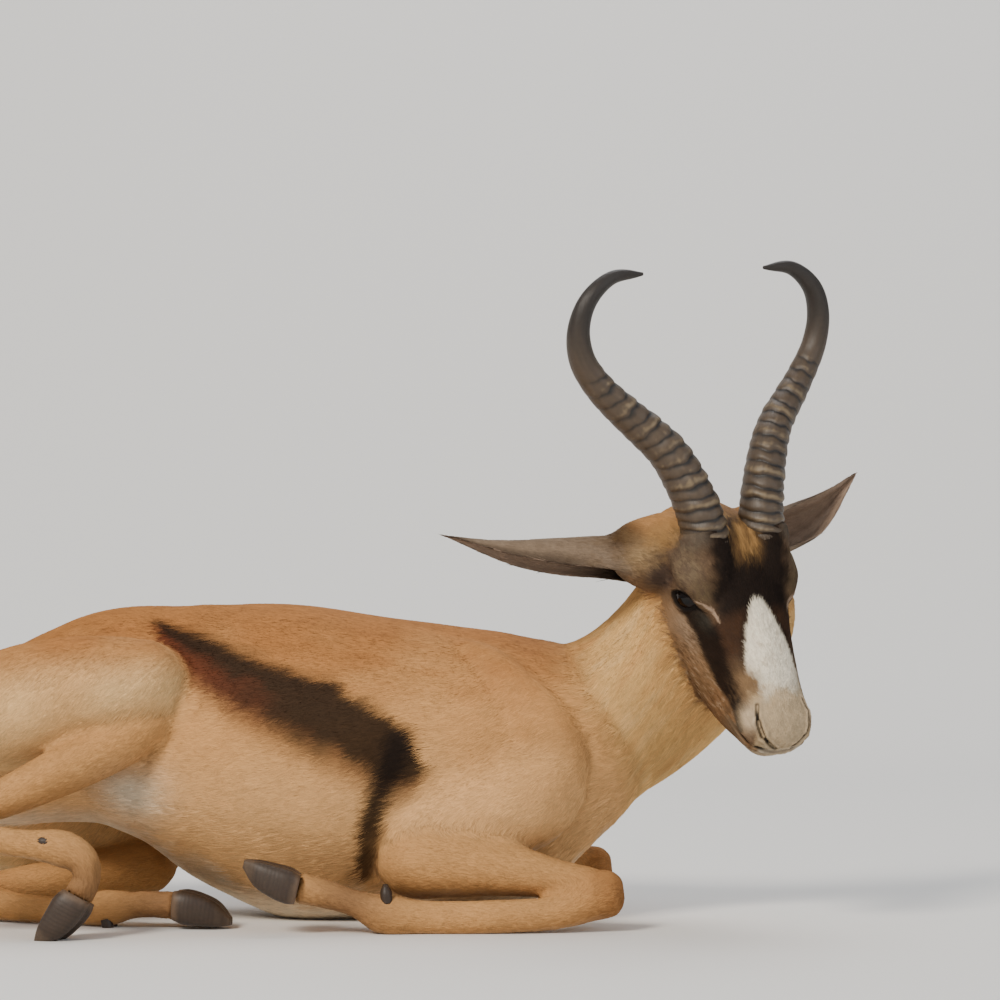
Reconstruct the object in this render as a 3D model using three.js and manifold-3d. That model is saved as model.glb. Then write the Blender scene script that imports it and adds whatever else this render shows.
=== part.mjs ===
// A springbok ram lying down, at life size: chest on the floor, legs folded, head up and turned.
// Millimetres, +Z up, +X towards the head, -Y on the animal's right. The floor is z = 0.
import * as THREE from 'three';
import { mergeVertices } from 'three/addons/utils/BufferGeometryUtils.js';
import Module from 'manifold-3d';

const wasm = await Module();
wasm.setup();

// Driving dimensions.
const gap = 0.3; // between pieces that touch
const earLength = 216; // with the part sunk in the head
const eyeRadius = 16.5;
const hornRings = 18;
const hoofLength = 52;
const thinnest = 0.4; // half the thinnest a section gets
const middle = [-31.5, -21.2]; // x and y of the floor point under the middle of the whole animal

// The head's own frame: x to the animal's left, y out of the forehead, z down the nose.
const headPlace = new THREE.Vector3(322, -118, 316); // on the forehead, between the eyes
const headYaw = 28; // degrees, turned from the right flank towards the front
const headTilt = 7; // degrees, nose swung towards the front
const headPitch = 31; // degrees, nose swung out from the vertical

const colours = {
  coat: 0xb98550,
  face: 0x5b4334,
  horn: 0x463b2e,
  hoof: 0x3a322c,
  eye: 0x16100c,
  tail: 0xd8bf97,
};

// Shapes from sections

const rad = THREE.MathUtils.degToRad;
const signedPower = (v, power) => Math.sign(v) * Math.abs(v) ** power;

// Rows of numbers read by a smooth curve, at a share of the way along.
function smooth(rows, positions) {
  const size = rows[0].length;
  const reader = new THREE.CubicInterpolant(positions, rows.flat(), size, new Float64Array(size));
  return (at) => Array.from(reader.evaluate(at));
}

// How far along its path each row lies, from the row's first three numbers.
function distances(rows) {
  const points = rows.map((row) => new THREE.Vector3(...row));
  const places = [0];
  for (let i = 1; i < points.length; i++) places.push(places[i - 1] + points[i].distanceTo(points[i - 1]));
  return places;
}

// A closed skin over rings of points, each end closed to its ring's middle.
function skin(rings) {
  const around = rings[0].length;
  const points = rings.flat();
  const index = [];
  for (let i = 0; i + 1 < rings.length; i++) {
    for (let j = 0; j < around; j++) {
      const a = i * around + j;
      const b = i * around + ((j + 1) % around);
      index.push(a, b, b + around, a, b + around, a + around);
    }
  }
  for (const [start, first] of [[true, 0], [false, (rings.length - 1) * around]]) {
    const centre = new THREE.Vector3();
    for (let j = 0; j < around; j++) centre.addScaledVector(points[first + j], 1 / around);
    points.push(centre);
    for (let j = 0; j < around; j++) {
      const [a, b] = [first + j, first + ((j + 1) % around)];
      index.push(...(start ? [points.length - 1, b, a] : [points.length - 1, a, b]));
    }
  }
  const geometry = new THREE.BufferGeometry().setFromPoints(points);
  geometry.setIndex(index);
  return geometry;
}

// How far the ring at one end of a form moves out when the form grows.
const endPush = (i, steps, grow) => (i === 0 ? -grow : i === steps ? grow : 0);

// A limb or body through rows of [x, y, z, side, up, down, roll]: the middle of a section, its reach to the
// sides, up and down, and its roll in degrees. grow makes it larger all over, to cut a neighbour.
function flesh(rows, { around = 12, steps = 10, up = [0, 0, 1], grow = 0 } = {}) {
  const full = rows.map(([x, y, z, side, rise, drop = rise, roll = 0]) => (
    [x, y, z, side, rise, drop, roll]));
  const places = distances(full);
  const read = smooth(full, places);
  const end = places[places.length - 1];
  const rings = [];
  for (let i = 0; i <= steps; i++) {
    const at = (end * i) / steps;
    const [x, y, z, side, rise, drop, roll] = read(at);
    const before = new THREE.Vector3(...read(Math.max(0, at - end * 0.01)));
    const after = new THREE.Vector3(...read(Math.min(end, at + end * 0.01)));
    const forward = after.sub(before).normalize();
    const top = new THREE.Vector3(...up).applyAxisAngle(forward, rad(roll));
    top.addScaledVector(forward, -top.dot(forward)).normalize();
    const left = new THREE.Vector3().crossVectors(top, forward);
    const centre = new THREE.Vector3(x, y, z).addScaledVector(forward, endPush(i, steps, grow));
    const ring = [];
    for (let j = 0; j < around; j++) {
      const angle = (2 * Math.PI * (j + 0.5)) / around;
      const height = Math.sin(angle) > 0 ? rise : drop;
      ring.push(centre.clone()
        .addScaledVector(left, (Math.max(side, thinnest) + grow) * Math.cos(angle))
        .addScaledVector(top, (Math.max(height, thinnest) + grow) * Math.sin(angle)));
    }
    rings.push(ring);
  }
  return skin(rings);
}

// Joining and cutting

function solid(geometry) {
  const bare = new THREE.BufferGeometry().setAttribute('position', geometry.getAttribute('position'));
  bare.setIndex(geometry.index);
  const merged = mergeVertices(bare, 1e-4);
  return new wasm.Manifold(new wasm.Mesh({
    numProp: 3,
    vertProperties: new Float32Array(merged.attributes.position.array),
    triVerts: new Uint32Array(merged.index.array),
  }));
}

const fuse = (pieces) => pieces.reduce((whole, piece) => whole.add(piece));
const cut = (whole, ...tools) => tools.reduce((left, tool) => left.subtract(tool), whole);

// The largest closed piece, as a geometry.
function shape(manifold) {
  const [largest] = manifold.decompose().sort((a, b) => b.volume() - a.volume());
  const mesh = largest.getMesh();
  const geometry = new THREE.BufferGeometry();
  geometry.setAttribute('position', new THREE.BufferAttribute(new Float32Array(mesh.vertProperties), 3));
  geometry.setIndex(new THREE.BufferAttribute(new Uint32Array(mesh.triVerts), 1));
  return geometry;
}

const far = 2000; // larger than the animal
const floor = solid(new THREE.BoxGeometry(far, far, far).translate(0, 0, -far / 2));
const mirrored = (rows) => rows.map(([x, y, ...rest]) => [x, -y, ...rest]);

// Trunk and neck

// The pelvis is rolled on its left side, so the trunk turns as it goes back.
const trunkRows = [
  [-478, 34, 176, 16, 16, 18, 0],
  [-464, 30, 172, 46, 44, 44, 12],
  [-432, 26, 166, 72, 62, 66, 20],
  [-380, 20, 166, 92, 80, 80, 26],
  [-320, 14, 170, 104, 106, 78, 26],
  [-262, 8, 172, 112, 126, 82, 24],
  [-215, 2, 162, 120, 140, 90, 20],
  [-165, -3, 152, 125, 148, 124, 14],
  [-100, -5, 147, 128, 150, 152, 8],
  [-20, -5, 144, 126, 142, 150, 4],
  [50, -2, 146, 116, 132, 150, 0],
  [110, 0, 150, 102, 120, 140, 0],
  [160, 0, 152, 86, 104, 118, 0],
  [200, 0, 146, 64, 82, 84, 0],
  [226, 0, 138, 38, 50, 48, 0],
  [236, 0, 134, 10, 14, 14, 0],
];

const neckBase = { x: 168, z: 205, slope: rad(37) }; // a plane across the body
const neckRows = [
  [118, 4, 158, 66, 84, 84],
  [170, 0, 184, 66, 78, 92],
  [215, -8, 216, 60, 66, 96],
  [252, -24, 256, 55, 60, 98],
  [280, -44, 302, 53, 56, 99],
  [292, -58, 342, 45, 48, 70],
  [296, -64, 360, 26, 30, 38],
];

const trunk = (grow) => solid(flesh(trunkRows, { around: 20, steps: 20, grow }));
const neck = (grow) => solid(flesh(neckRows, { around: 14, steps: 10, up: [-0.72, -0.1, 0.68], grow }));

// Legs

// Right foreleg, folded: the knee is forward and the cannon lies back on the floor.
const shoulderRows = [
  [44, -34, 256, 12, 14],
  [62, -48, 236, 30, 38],
  [92, -64, 200, 36, 52],
  [122, -74, 160, 36, 56],
  [142, -76, 124, 30, 44],
  [150, -76, 104, 10, 16],
];
const upperArmRows = [
  [168, -74, 132, 18, 22],
  [142, -82, 124, 34, 44],
  [90, -96, 106, 38, 52],
  [38, -99, 86, 35, 46],
  [0, -99, 74, 29, 34],
  [-20, -98, 70, 12, 14],
];
const forearmRows = [
  [-14, -112, 64, 14, 16],
  [4, -112, 62, 28, 32],
  [48, -116, 62, 30, 35],
  [100, -123, 55, 23, 26],
  [146, -129, 46, 17, 19],
  [178, -133, 40, 17, 18],
];
const foreCannonRows = [
  [206, -134, 36, 9, 12],
  [198, -134, 35, 18, 21],
  [180, -138, 31, 20, 22],
  [152, -146, 20, 15, 17],
  [90, -152, 14.6, 12, 16.5],
  [22, -154, 14.6, 12, 16.5],
  [-8, -155, 17.5, 16, 19],
  [-34, -156, 27, 13, 13],
  [-62, -157, 36, 14, 14],
  [-84, -158, 41, 15, 15],
];

// Right hind leg: the stifle is up against the flank, and the foot stands on its toes.
const thighRows = [
  [-456, -16, 176, 18, 20, 22],
  [-436, -34, 182, 46, 42, 48],
  [-392, -60, 192, 62, 50, 58],
  [-336, -80, 203, 66, 58, 64],
  [-280, -94, 212, 62, 56, 64],
  [-238, -104, 219, 50, 47, 53],
  [-208, -110, 221, 33, 36, 39],
  [-192, -112, 221, 13, 16, 17],
];
const shankRows = [
  [-206, -108, 196, 14, 15],
  [-222, -112, 188, 24, 25],
  [-250, -124, 170, 25, 26],
  [-290, -138, 148, 22, 24],
  [-335, -150, 126, 18, 20],
  [-378, -162, 108, 14, 16],
  [-410, -172, 97, 13, 16],
];
const hindCannonRows = [
  [-432, -172, 104, 9, 12],
  [-424, -173, 101, 15, 20],
  [-404, -176, 94, 17, 20],
  [-374, -181, 88, 12.5, 15],
  [-320, -188, 82, 12, 14],
  [-288, -192, 78, 15, 17.5],
  [-270, -195, 68, 14, 15],
  [-266, -197, 53, 13, 13],
  [-274, -199, 38, 14, 15],
];

// Left hind leg, under the body: its foot comes out below the belly on the right.
const underThighRows = [
  [-452, 44, 118, 20, 24],
  [-430, 54, 110, 48, 54],
  [-384, 72, 98, 60, 66],
  [-326, 88, 82, 62, 66],
  [-274, 98, 68, 52, 56],
  [-236, 102, 58, 36, 44],
  [-216, 103, 54, 13, 16],
];
const underShankRows = [
  [-226, 82, 46, 14, 16],
  [-240, 72, 44, 26, 28],
  [-276, 46, 38, 25, 26],
  [-330, 8, 32, 20, 21],
  [-376, -24, 27, 16, 18],
  [-394, -37, 25, 14, 16],
];
const underCannonRows = [
  [-416, -36, 26, 9, 12],
  [-408, -38, 24, 15, 19],
  [-390, -46, 21, 16, 19],
  [-358, -58, 15, 12.5, 15],
  [-296, -82, 14, 12, 14],
  [-262, -95, 17, 15, 17.5],
  [-240, -101, 20, 13, 13.5],
  [-218, -104, 21, 13, 13],
  [-200, -106, 20, 14, 14],
];

const limb = (rows, grow = 0, steps = 12, around = 12) => solid(flesh(rows, { around, steps, grow }));

// The last bone's direction, from the path of a cannon's rows.
function footFrame(rows, sole) {
  const [a, b] = rows.slice(-2).map((row) => new THREE.Vector3(...row));
  const toe = b.clone().sub(a).normalize();
  const down = new THREE.Vector3(...sole);
  down.addScaledVector(toe, -down.dot(toe)).normalize();
  const across = new THREE.Vector3().crossVectors(toe, down);
  return { at: b, toe, down, across };
}

// One claw of a hoof, with its flat inner side, pointed toe and level sole:
// [along, half width, reach up, reach down].
const clawSquareness = 0.75;
const innerShare = 0.85; // the inner side's reach, against the outer side's
const clawSet = 0.92; // how far out a claw's middle is set, in half widths
const clawRows = [
  [0, 10, 14, 12],
  [8, 11, 15, 15],
  [24, 10, 12, 16],
  [40, 7.5, 5, 16],
  [hoofLength, 3, -7, 14],
];

function claw(foot, outward, grow = 0) {
  const read = smooth(clawRows, clawRows.map(([along]) => along));
  const rings = [];
  const steps = 5;
  const around = 8;
  for (let i = 0; i <= steps; i++) {
    const [along, half, over, under] = read((hoofLength * i) / steps);
    const centre = foot.at.clone()
      .addScaledVector(foot.toe, along + 2 * gap + endPush(i, steps, grow))
      .addScaledVector(foot.across, outward * (half * clawSet + 2 * gap))
      .addScaledVector(foot.down, (under - over) / 2);
    const ring = [];
    for (let j = 0; j < around; j++) {
      const angle = (2 * Math.PI * (j + 0.5)) / around;
      const [c, s] = [Math.cos(angle), Math.sin(angle)];
      const wide = c * outward > 0 ? half : half * innerShare;
      ring.push(centre.clone()
        .addScaledVector(foot.across, (wide + grow) * signedPower(c, clawSquareness))
        .addScaledVector(foot.down, -((over + under) / 2 + grow) * signedPower(s, clawSquareness)));
    }
    rings.push(ring);
  }
  return solid(skin(rings));
}

// Two small dewclaws behind the fetlock, each a stub that ends in a blunt tip.
const dewclaw = { sunk: 0.55, apart: 7, long: 15, forward: 5, radius: 5, tipRadius: 2, shoulder: 0.6 };

function dewclaws(rows, fetlock, sole) {
  const joint = new THREE.Vector3(...rows[fetlock]);
  const foot = footFrame(rows, sole);
  const { radius, tipRadius } = dewclaw;
  return [-1, 1].map((hand) => {
    const at = joint.clone().addScaledVector(foot.down, rows[fetlock][4] * dewclaw.sunk)
      .addScaledVector(foot.across, hand * dewclaw.apart);
    const tip = at.clone().addScaledVector(foot.down, dewclaw.long)
      .addScaledVector(foot.toe, dewclaw.forward);
    const bend = at.clone().lerp(tip, dewclaw.shoulder);
    const stub = [[...at, radius, radius], [...bend, radius, radius], [...tip, tipRadius, tipRadius]];
    return limb(stub, 0, 3, 6);
  });
}

// Head

const headMatrix = new THREE.Matrix4()
  .makeRotationY(rad(-headTilt))
  .multiply(new THREE.Matrix4().makeRotationZ(rad(headYaw)))
  .multiply(new THREE.Matrix4().makeRotationX(rad(-headPitch)))
  .multiply(new THREE.Matrix4().makeBasis(
    new THREE.Vector3(1, 0, 0),
    new THREE.Vector3(0, -1, 0),
    new THREE.Vector3(0, 0, -1),
  ))
  .setPosition(headPlace);

// Sections down the head: [z, top, widest level, bottom, half width].
const skullRows = [
  [-116, -40, -58, -80, 22],
  [-106, -21, -56, -96, 38],
  [-84, -3, -52, -112, 48],
  [-60, 13, -46, -119, 52],
  [-38, 17, -42, -122, 54],
  [-16, 13, -39, -124, 56],
  [4, 4, -37, -125, 54],
  [24, -4, -42, -125, 49],
  [46, -11, -50, -126, 45],
  [70, -18, -55, -121, 40.5],
  [92, -25, -58, -112, 37.5],
  [111, -31, -60, -100, 36],
  [126, -37, -61, -90, 34],
  [137, -45, -63, -81, 28],
  [143, -55, -64, -73, 12],
];
const skullSquareness = { across: 0.86, deep: 0.94 };
const jawTaper = 0.1; // the jaw is narrower than the cheeks
const eyePlace = [41, -34, -10];
const eyeLook = [0.88, 0.3, 0.36]; // out to the side, a little forward and up

function skull(grow = 0) {
  const read = smooth(skullRows, skullRows.map(([z]) => z));
  const around = 18;
  const steps = 20;
  const [start, end] = [skullRows[0][0], skullRows[skullRows.length - 1][0]];
  const rings = [];
  for (let i = 0; i <= steps; i++) {
    const at = THREE.MathUtils.lerp(start, end, 0.5 - Math.cos((Math.PI * i) / steps) / 2);
    const [z, top, level, bottom, half] = read(at);
    const ring = [];
    for (let j = 0; j < around; j++) {
      const angle = (2 * Math.PI * (j + 0.5)) / around;
      const [c, s] = [Math.cos(angle), Math.sin(angle)];
      const height = s > 0 ? top - level : level - bottom;
      const jaw = s < 0 ? 1 - jawTaper * s * s : 1;
      ring.push(new THREE.Vector3(
        (half + grow) * signedPower(c, skullSquareness.across) * jaw,
        level + (height + grow) * signedPower(s, skullSquareness.deep),
        z + endPush(i, steps, grow),
      ));
    }
    rings.push(ring);
  }
  return solid(skin(rings));
}

// A ball turned to face a way, for eyeballs and lids.
function ball(place, look, sizes, turn = 0) {
  const facing = new THREE.Quaternion()
    .setFromUnitVectors(new THREE.Vector3(0, 0, 1), new THREE.Vector3(...look).normalize())
    .multiply(new THREE.Quaternion().setFromAxisAngle(new THREE.Vector3(0, 0, 1), turn));
  const geometry = new THREE.SphereGeometry(1, 12, 8).scale(...sizes);
  geometry.deleteAttribute('normal');
  geometry.deleteAttribute('uv');
  return solid(geometry.applyQuaternion(facing).translate(...place));
}

const side = (hand, [x, y, z]) => [hand * x, y, z];
const eyeball = (hand, grow = 0) => {
  const size = eyeRadius + grow;
  return ball(side(hand, eyePlace), side(hand, eyeLook), [size, size, size]);
};

// The lids: a pad over the eyeball, with an almond opening along the way the eye looks.
const lidThickness = 2;
const padSpread = [3, 1, 0]; // how much wider than the eye the pad is, along, across and out
const lidAlong = [-0.25, 0.42, 0.85]; // from the outer corner to the inner corner, left eye
const lidRings = [{ out: 8, wide: 11.5, tall: 5.6 }, { out: 26, wide: 14, tall: 7.5 }];
const cornerPoint = 0.25; // how far the almond narrows towards its corners
function lidPad(hand, grow = 0) {
  const sizes = padSpread.map((spread) => eyeRadius + lidThickness + grow + spread);
  return ball(side(hand, eyePlace), side(hand, eyeLook), sizes);
}
function lidOpening(hand) {
  const at = new THREE.Vector3(...side(hand, eyePlace));
  const look = new THREE.Vector3(...side(hand, eyeLook)).normalize();
  const along = new THREE.Vector3(...side(hand, lidAlong));
  along.addScaledVector(look, -along.dot(look)).normalize();
  const across = new THREE.Vector3().crossVectors(look, along);
  const rings = lidRings.map(({ out, wide, tall }) => {
    const ring = [];
    const around = 14;
    for (let j = 0; j < around; j++) {
      const angle = (2 * Math.PI * j) / around;
      const height = tall * (1 - cornerPoint * Math.cos(angle) ** 2);
      ring.push(at.clone().addScaledVector(look, out)
        .addScaledVector(along, wide * Math.cos(angle))
        .addScaledVector(across, height * Math.sin(angle)));
    }
    return ring;
  });
  return solid(skin(rings));
}

// The line of the mouth, a thin bent sheet kept only near the surface: [z, y] down the head.
const mouth = {
  rows: [[80, -67], [98, -66.5], [116, -67.5], [131, -69], [147, -69]],
  reach: 40,
  half: 0.8,
  deep: 3,
};

function mouthLine() {
  const { rows, reach, half, deep } = mouth;
  const rings = rows.map(([z, y]) => [
    new THREE.Vector3(-reach, y - half, z), new THREE.Vector3(reach, y - half, z),
    new THREE.Vector3(reach, y + half, z), new THREE.Vector3(-reach, y + half, z),
  ]);
  return solid(skin(rings)).subtract(skull(-deep));
}

const nose = { place: [16.5, -52, 137], look: [0.75, 0.1, 0.66], size: [7.5, 3.2, 4.5], turn: 0.9 };
const nostril = (hand) => ball(side(hand, nose.place), side(hand, nose.look), nose.size, hand * nose.turn);

// Swells on each side of the skull: the brow, the horn's root and the muscle of the ear.
const headSwells = [
  [[36, -30, -62, 8, 8], [42, -19, -42, 16, 17], [47, -13, -15, 17, 17], [43, -18, 6, 12, 12],
    [36, -25, 22, 4, 4]],
  [[24, -34, 8, 10, 10], [28, -17, -10, 22, 23], [31, 0, -34, 25, 25], [34, 11, -52, 23.5, 23.5]],
  [[26, -4, -60, 12, 12], [40, -16, -66, 22, 24], [58, -34, -72, 25, 27], [76, -48, -78, 22, 24],
    [92, -56, -84, 12, 14]],
];
const swellDetail = { steps: 7, around: 12 };
const swellLofts = (grow = 0) => [1, -1].flatMap((hand) => headSwells.map((rows) => {
  const handed = rows.map(([x, ...rest]) => [hand * x, ...rest]);
  return limb(handed, grow, swellDetail.steps, swellDetail.around);
}));

function headSolid() {
  const whole = fuse([skull(), lidPad(1), lidPad(-1), ...swellLofts()]);
  return cut(whole, eyeball(1, gap), eyeball(-1, gap), lidOpening(1), lidOpening(-1),
    mouthLine(), nostril(1), nostril(-1));
}

// Horns, in the head's frame, x out to the horn's own side

const hornPath = [
  [28, -14, -14],
  [34, 19, -65],
  [54, 43, -115],
  [71, 49, -139],
  [92, 57, -160],
  [112, 67, -181],
  [127, 82, -201],
  [131, 102, -220],
  [122, 122, -237],
  [98, 136, -250],
  [66, 138, -251],
];
const hornThickness = [[0, 22], [0.1, 22], [0.25, 20], [0.42, 17], [0.58, 13.7], [0.74, 10.8], [0.88, 7.4],
  [0.96, 4.5], [1, 1.6]]; // [share of length, radius]
const ringed = { from: 0.08, to: 0.66, crowding: 1.3, swell: 0.045, fade: 0.5 };
const hornTipSteps = 8;
const hornOval = { across: 0.94, deep: 1.06 };

function horn(hand, grow = 0) {
  const points = hornPath.map((p) => new THREE.Vector3(...side(hand, p)));
  const path = new THREE.CatmullRomCurve3(points);
  const thickness = smooth(hornThickness, hornThickness.map(([at]) => at));
  const around = 9;
  const stops = [0];
  for (let i = 0; i < hornRings; i++) {
    const [a, b] = [i, i + 1].map((n) => (n / hornRings) ** ringed.crowding);
    stops.push(...[a, (a + b) / 2].map((share) => THREE.MathUtils.lerp(ringed.from, ringed.to, share)));
  }
  for (let i = 0; i <= hornTipSteps; i++) stops.push(THREE.MathUtils.lerp(ringed.to, 1, i / hornTipSteps));
  const rings = stops.map((at, i) => {
    const ridge = i > 0 && i <= 2 * hornRings ? (i % 2 ? -1 : 1) : 0;
    const swell = 1 + ridge * ringed.swell * (1 - ringed.fade * at);
    const centre = path.getPointAt(at);
    const forward = path.getTangentAt(at);
    const front = new THREE.Vector3(0, 1, 0).addScaledVector(forward, -forward.y).normalize();
    const out = new THREE.Vector3().crossVectors(front, forward);
    const [, size] = thickness(at);
    const ring = [];
    for (let j = 0; j < around; j++) {
      const angle = (2 * Math.PI * j) / around;
      ring.push(centre.clone()
        .addScaledVector(out, (size * swell * hornOval.across + grow) * Math.cos(angle))
        .addScaledVector(front, (size * swell * hornOval.deep + grow) * Math.sin(angle)));
    }
    return ring;
  });
  return solid(skin(rings));
}

// Ears, each a leaf rolled into a cup, from [share of length, half width, degrees rolled, thickness]

const earRows = [
  [0, 22, 155, 6],
  [0.14, 24, 150, 5],
  [0.29, 22.5, 132, 4],
  [0.45, 21.5, 120, 3.5],
  [0.58, 20, 108, 3.2],
  [0.7, 16.5, 98, 3],
  [0.8, 12.5, 88, 2.6],
  [0.9, 7.5, 75, 2.2],
  [0.96, 4, 65, 1.8],
  [1, 1.4, 50, 1.2],
];
const earSag = 13; // the outer part hangs, and the tip turns up again
const earSagPower = 1.7; // above 1, the sag is nearer to the tip than to the root
const earHang = [-0.11, -0.56, 0.82]; // down, as seen in the head's frame
const earEdgeThinning = 0.55; // the leaf thins towards both edges
const ears = {
  left: { from: [34, -46, -58], to: [231, -68, -150], cup: [0.15, 0.8, 0.4] },
  right: { from: [-34, -46, -58], to: [-230, -89, -140], cup: [-0.23, -0.35, 0.91] },
};

function ear({ from, to, cup }, grow = 0) {
  const start = new THREE.Vector3(...from);
  const way = new THREE.Vector3(...to).sub(start).normalize();
  const open = new THREE.Vector3(...cup);
  open.addScaledVector(way, -open.dot(way)).normalize();
  const hang = new THREE.Vector3(...earHang);
  const across = new THREE.Vector3().crossVectors(way, open);
  const read = smooth(earRows, earRows.map(([at]) => at));
  const [steps, folds] = [12, 8];
  const rings = [];
  for (let i = 0; i <= steps; i++) {
    const at = i / steps;
    const [, half, turn, thick] = read(at);
    const sweep = rad(turn);
    const radius = half / Math.sin(Math.min(sweep, Math.PI / 2));
    const sag = earSag * Math.sin(Math.PI * at ** earSagPower);
    const hub = start.clone().addScaledVector(way, earLength * at)
      .addScaledVector(open, radius - half).addScaledVector(hang, sag);
    const onLeaf = (angle, r) => hub.clone()
      .addScaledVector(across, r * Math.sin(angle))
      .addScaledVector(open, -r * Math.cos(angle));
    const outer = [];
    const inner = [];
    for (let j = 0; j <= folds; j++) {
      const angle = sweep * (1 - (2 * j) / folds);
      const edge = 1 - earEdgeThinning * Math.abs(1 - (2 * j) / folds) ** 3;
      outer.push(onLeaf(angle, radius + grow));
      inner.push(onLeaf(angle, radius - thick * edge - grow));
    }
    rings.push([...outer, ...inner.reverse()]);
  }
  return solid(skin(rings));
}

// The fleshy root that closes the cup and carries the ear: [along, radius].
const earRootRows = [[-18, 27], [6, 32], [30, 30], [48, 22], [62, 10]];
function earRoot({ from, to }, grow = 0) {
  const start = new THREE.Vector3(...from);
  const way = new THREE.Vector3(...to).sub(start).normalize();
  const rows = earRootRows
    .map(([along, size]) => [...start.clone().addScaledVector(way, along), size, size]);
  return solid(flesh(rows, { around: 12, steps: 6, up: [0.1, 1, 0.2], grow }));
}

// Tail, a thin stem with a brush of long hair

const tailRows = [
  [-452, 30, 196, 16, 16],
  [-478, 31, 186, 14, 13],
  [-496, 30, 158, 10, 10],
  [-503, 26, 120, 8.5, 8.5],
  [-502, 18, 82, 7.5, 7.5],
  [-494, 6, 52, 6, 6],
];
const tailLocks = 11;
const lockLength = 62;
const brush = { top: [-502, 20, 92], run: [8, -14, -40], hang: [0.18, -0.25, -0.92], turn: 2.4, spread: 8 };
const lockSizes = { root: [3, 3], belly: [5, 2.6], tip: [0.8, 0.7] };
const lockChange = { least: 0.72, swing: 0.2, turn: 1.7 }; // the locks differ in length

function tailBrush() {
  const locks = [];
  for (let i = 0; i < tailLocks; i++) {
    const share = i / (tailLocks - 1);
    const angle = i * brush.turn;
    const root = new THREE.Vector3(...brush.top).addScaledVector(new THREE.Vector3(...brush.run), share);
    const spread = new THREE.Vector3(Math.cos(angle), Math.sin(angle), 0).multiplyScalar(brush.spread);
    const long = lockLength * (lockChange.least + lockChange.swing * Math.sin(i * lockChange.turn));
    const down = new THREE.Vector3(...brush.hang).normalize();
    const belly = root.clone().addScaledVector(down, long * 0.5).add(spread);
    const tip = root.clone().addScaledVector(down, long).addScaledVector(spread, 0.6);
    const rows = [[...root, ...lockSizes.root], [...belly, ...lockSizes.belly], [...tip, ...lockSizes.tip]];
    locks.push(limb(rows, 0, 3, 5));
  }
  return locks;
}

// The model

const group = new THREE.Group();
group.name = 'springbok';
group.position.set(-middle[0], -middle[1], 0);
const headGroup = new THREE.Group();
headGroup.applyMatrix4(headMatrix);
group.add(headGroup);

function add(name, manifold, colour, parent = group, roughness = 0.85) {
  const material = new THREE.MeshStandardMaterial({ color: colour, roughness, metalness: 0 });
  const mesh = new THREE.Mesh(shape(manifold), material);
  mesh.name = name;
  parent.add(mesh);
}

const headWhole = fuse([skull(gap), lidPad(1, gap), lidPad(-1, gap), eyeball(1, gap), eyeball(-1, gap),
  ...swellLofts(gap)]);
const toBody = (manifold) => manifold.transform(headMatrix.elements);
const toHead = (manifold) => manifold.transform(headMatrix.clone().invert().elements);

// Each leg's pieces from the body outwards, and which of the others lie over each.
const foreleg = (place) => ({
  pieces: { forearm: place(forearmRows), cannon: place(foreCannonRows) },
  over: { forearm: ['cannon'], cannon: [] },
  fetlock: 6,
  sole: [0.2, 0, 1],
});
const hindleg = (thigh, shank, cannon, sole) => ({
  pieces: { thigh, shank, cannon },
  over: { thigh: [], shank: ['thigh', 'cannon'], cannon: [] },
  fetlock: 5,
  sole,
});
const legs = {
  foreleg_right: foreleg((rows) => rows),
  foreleg_left: foreleg(mirrored),
  hindleg_right: hindleg(thighRows, shankRows, hindCannonRows, [-1, 0, -0.4]),
  hindleg_left: hindleg(underThighRows, underShankRows, underCannonRows, [-0.3, 0, -1]),
};
const detail = { // steps along, and points round
  thigh: [10, 14],
  shank: [8, 10],
  forearm: [8, 10],
  cannon: [18, 8],
};
const legPiece = (leg, piece, grow = 0) => limb(leg.pieces[piece], grow, ...detail[piece]);
const legPieces = Object.values(legs)
  .flatMap((leg) => Object.keys(leg.pieces).map((piece) => legPiece(leg, piece, gap)));

// Trunk, neck and shoulders are one form, parted by a plane at the base of the neck.
const shoulders = [shoulderRows, upperArmRows, mirrored(shoulderRows), mirrored(upperArmRows)]
  .map((rows) => limb(rows, 0, 8, 12));
const body = cut(fuse([trunk(0), neck(0), ...shoulders]), ...legPieces, floor);
const beyondNeckBase = (hand, shift) => {
  const half = new THREE.BoxGeometry(far, far, far).translate(hand * far / 2 + shift, 0, 0);
  return solid(half.rotateY(-neckBase.slope).translate(neckBase.x, 0, neckBase.z));
};
add('torso', cut(body, beyondNeckBase(1, 0)), colours.coat);
add('neck', cut(body, toBody(headWhole), beyondNeckBase(-1, gap)), colours.coat);

const tailWhole = fuse([limb(tailRows, 0, 10, 8), ...tailBrush()]);
add('tail', cut(tailWhole, trunk(gap), ...legPieces, floor), colours.tail);

for (const [name, leg] of Object.entries(legs)) {
  const foot = footFrame(leg.pieces.cannon, leg.sole);
  for (const piece of Object.keys(leg.pieces)) {
    const over = leg.over[piece].map((other) => legPiece(leg, other, gap));
    const own = piece === 'cannon' ? dewclaws(leg.pieces.cannon, leg.fetlock, leg.sole) : [];
    const hooves = piece === 'cannon' ? [claw(foot, 1, gap), claw(foot, -1, gap)] : [];
    const whole = fuse([legPiece(leg, piece), ...own]);
    add(`${name}_${piece}`, cut(whole, ...over, ...hooves, floor), colours.coat);
  }
  add(`${name}_hoof_outer`, cut(claw(foot, 1), floor), colours.hoof);
  add(`${name}_hoof_inner`, cut(claw(foot, -1), floor), colours.hoof);
}

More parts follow.
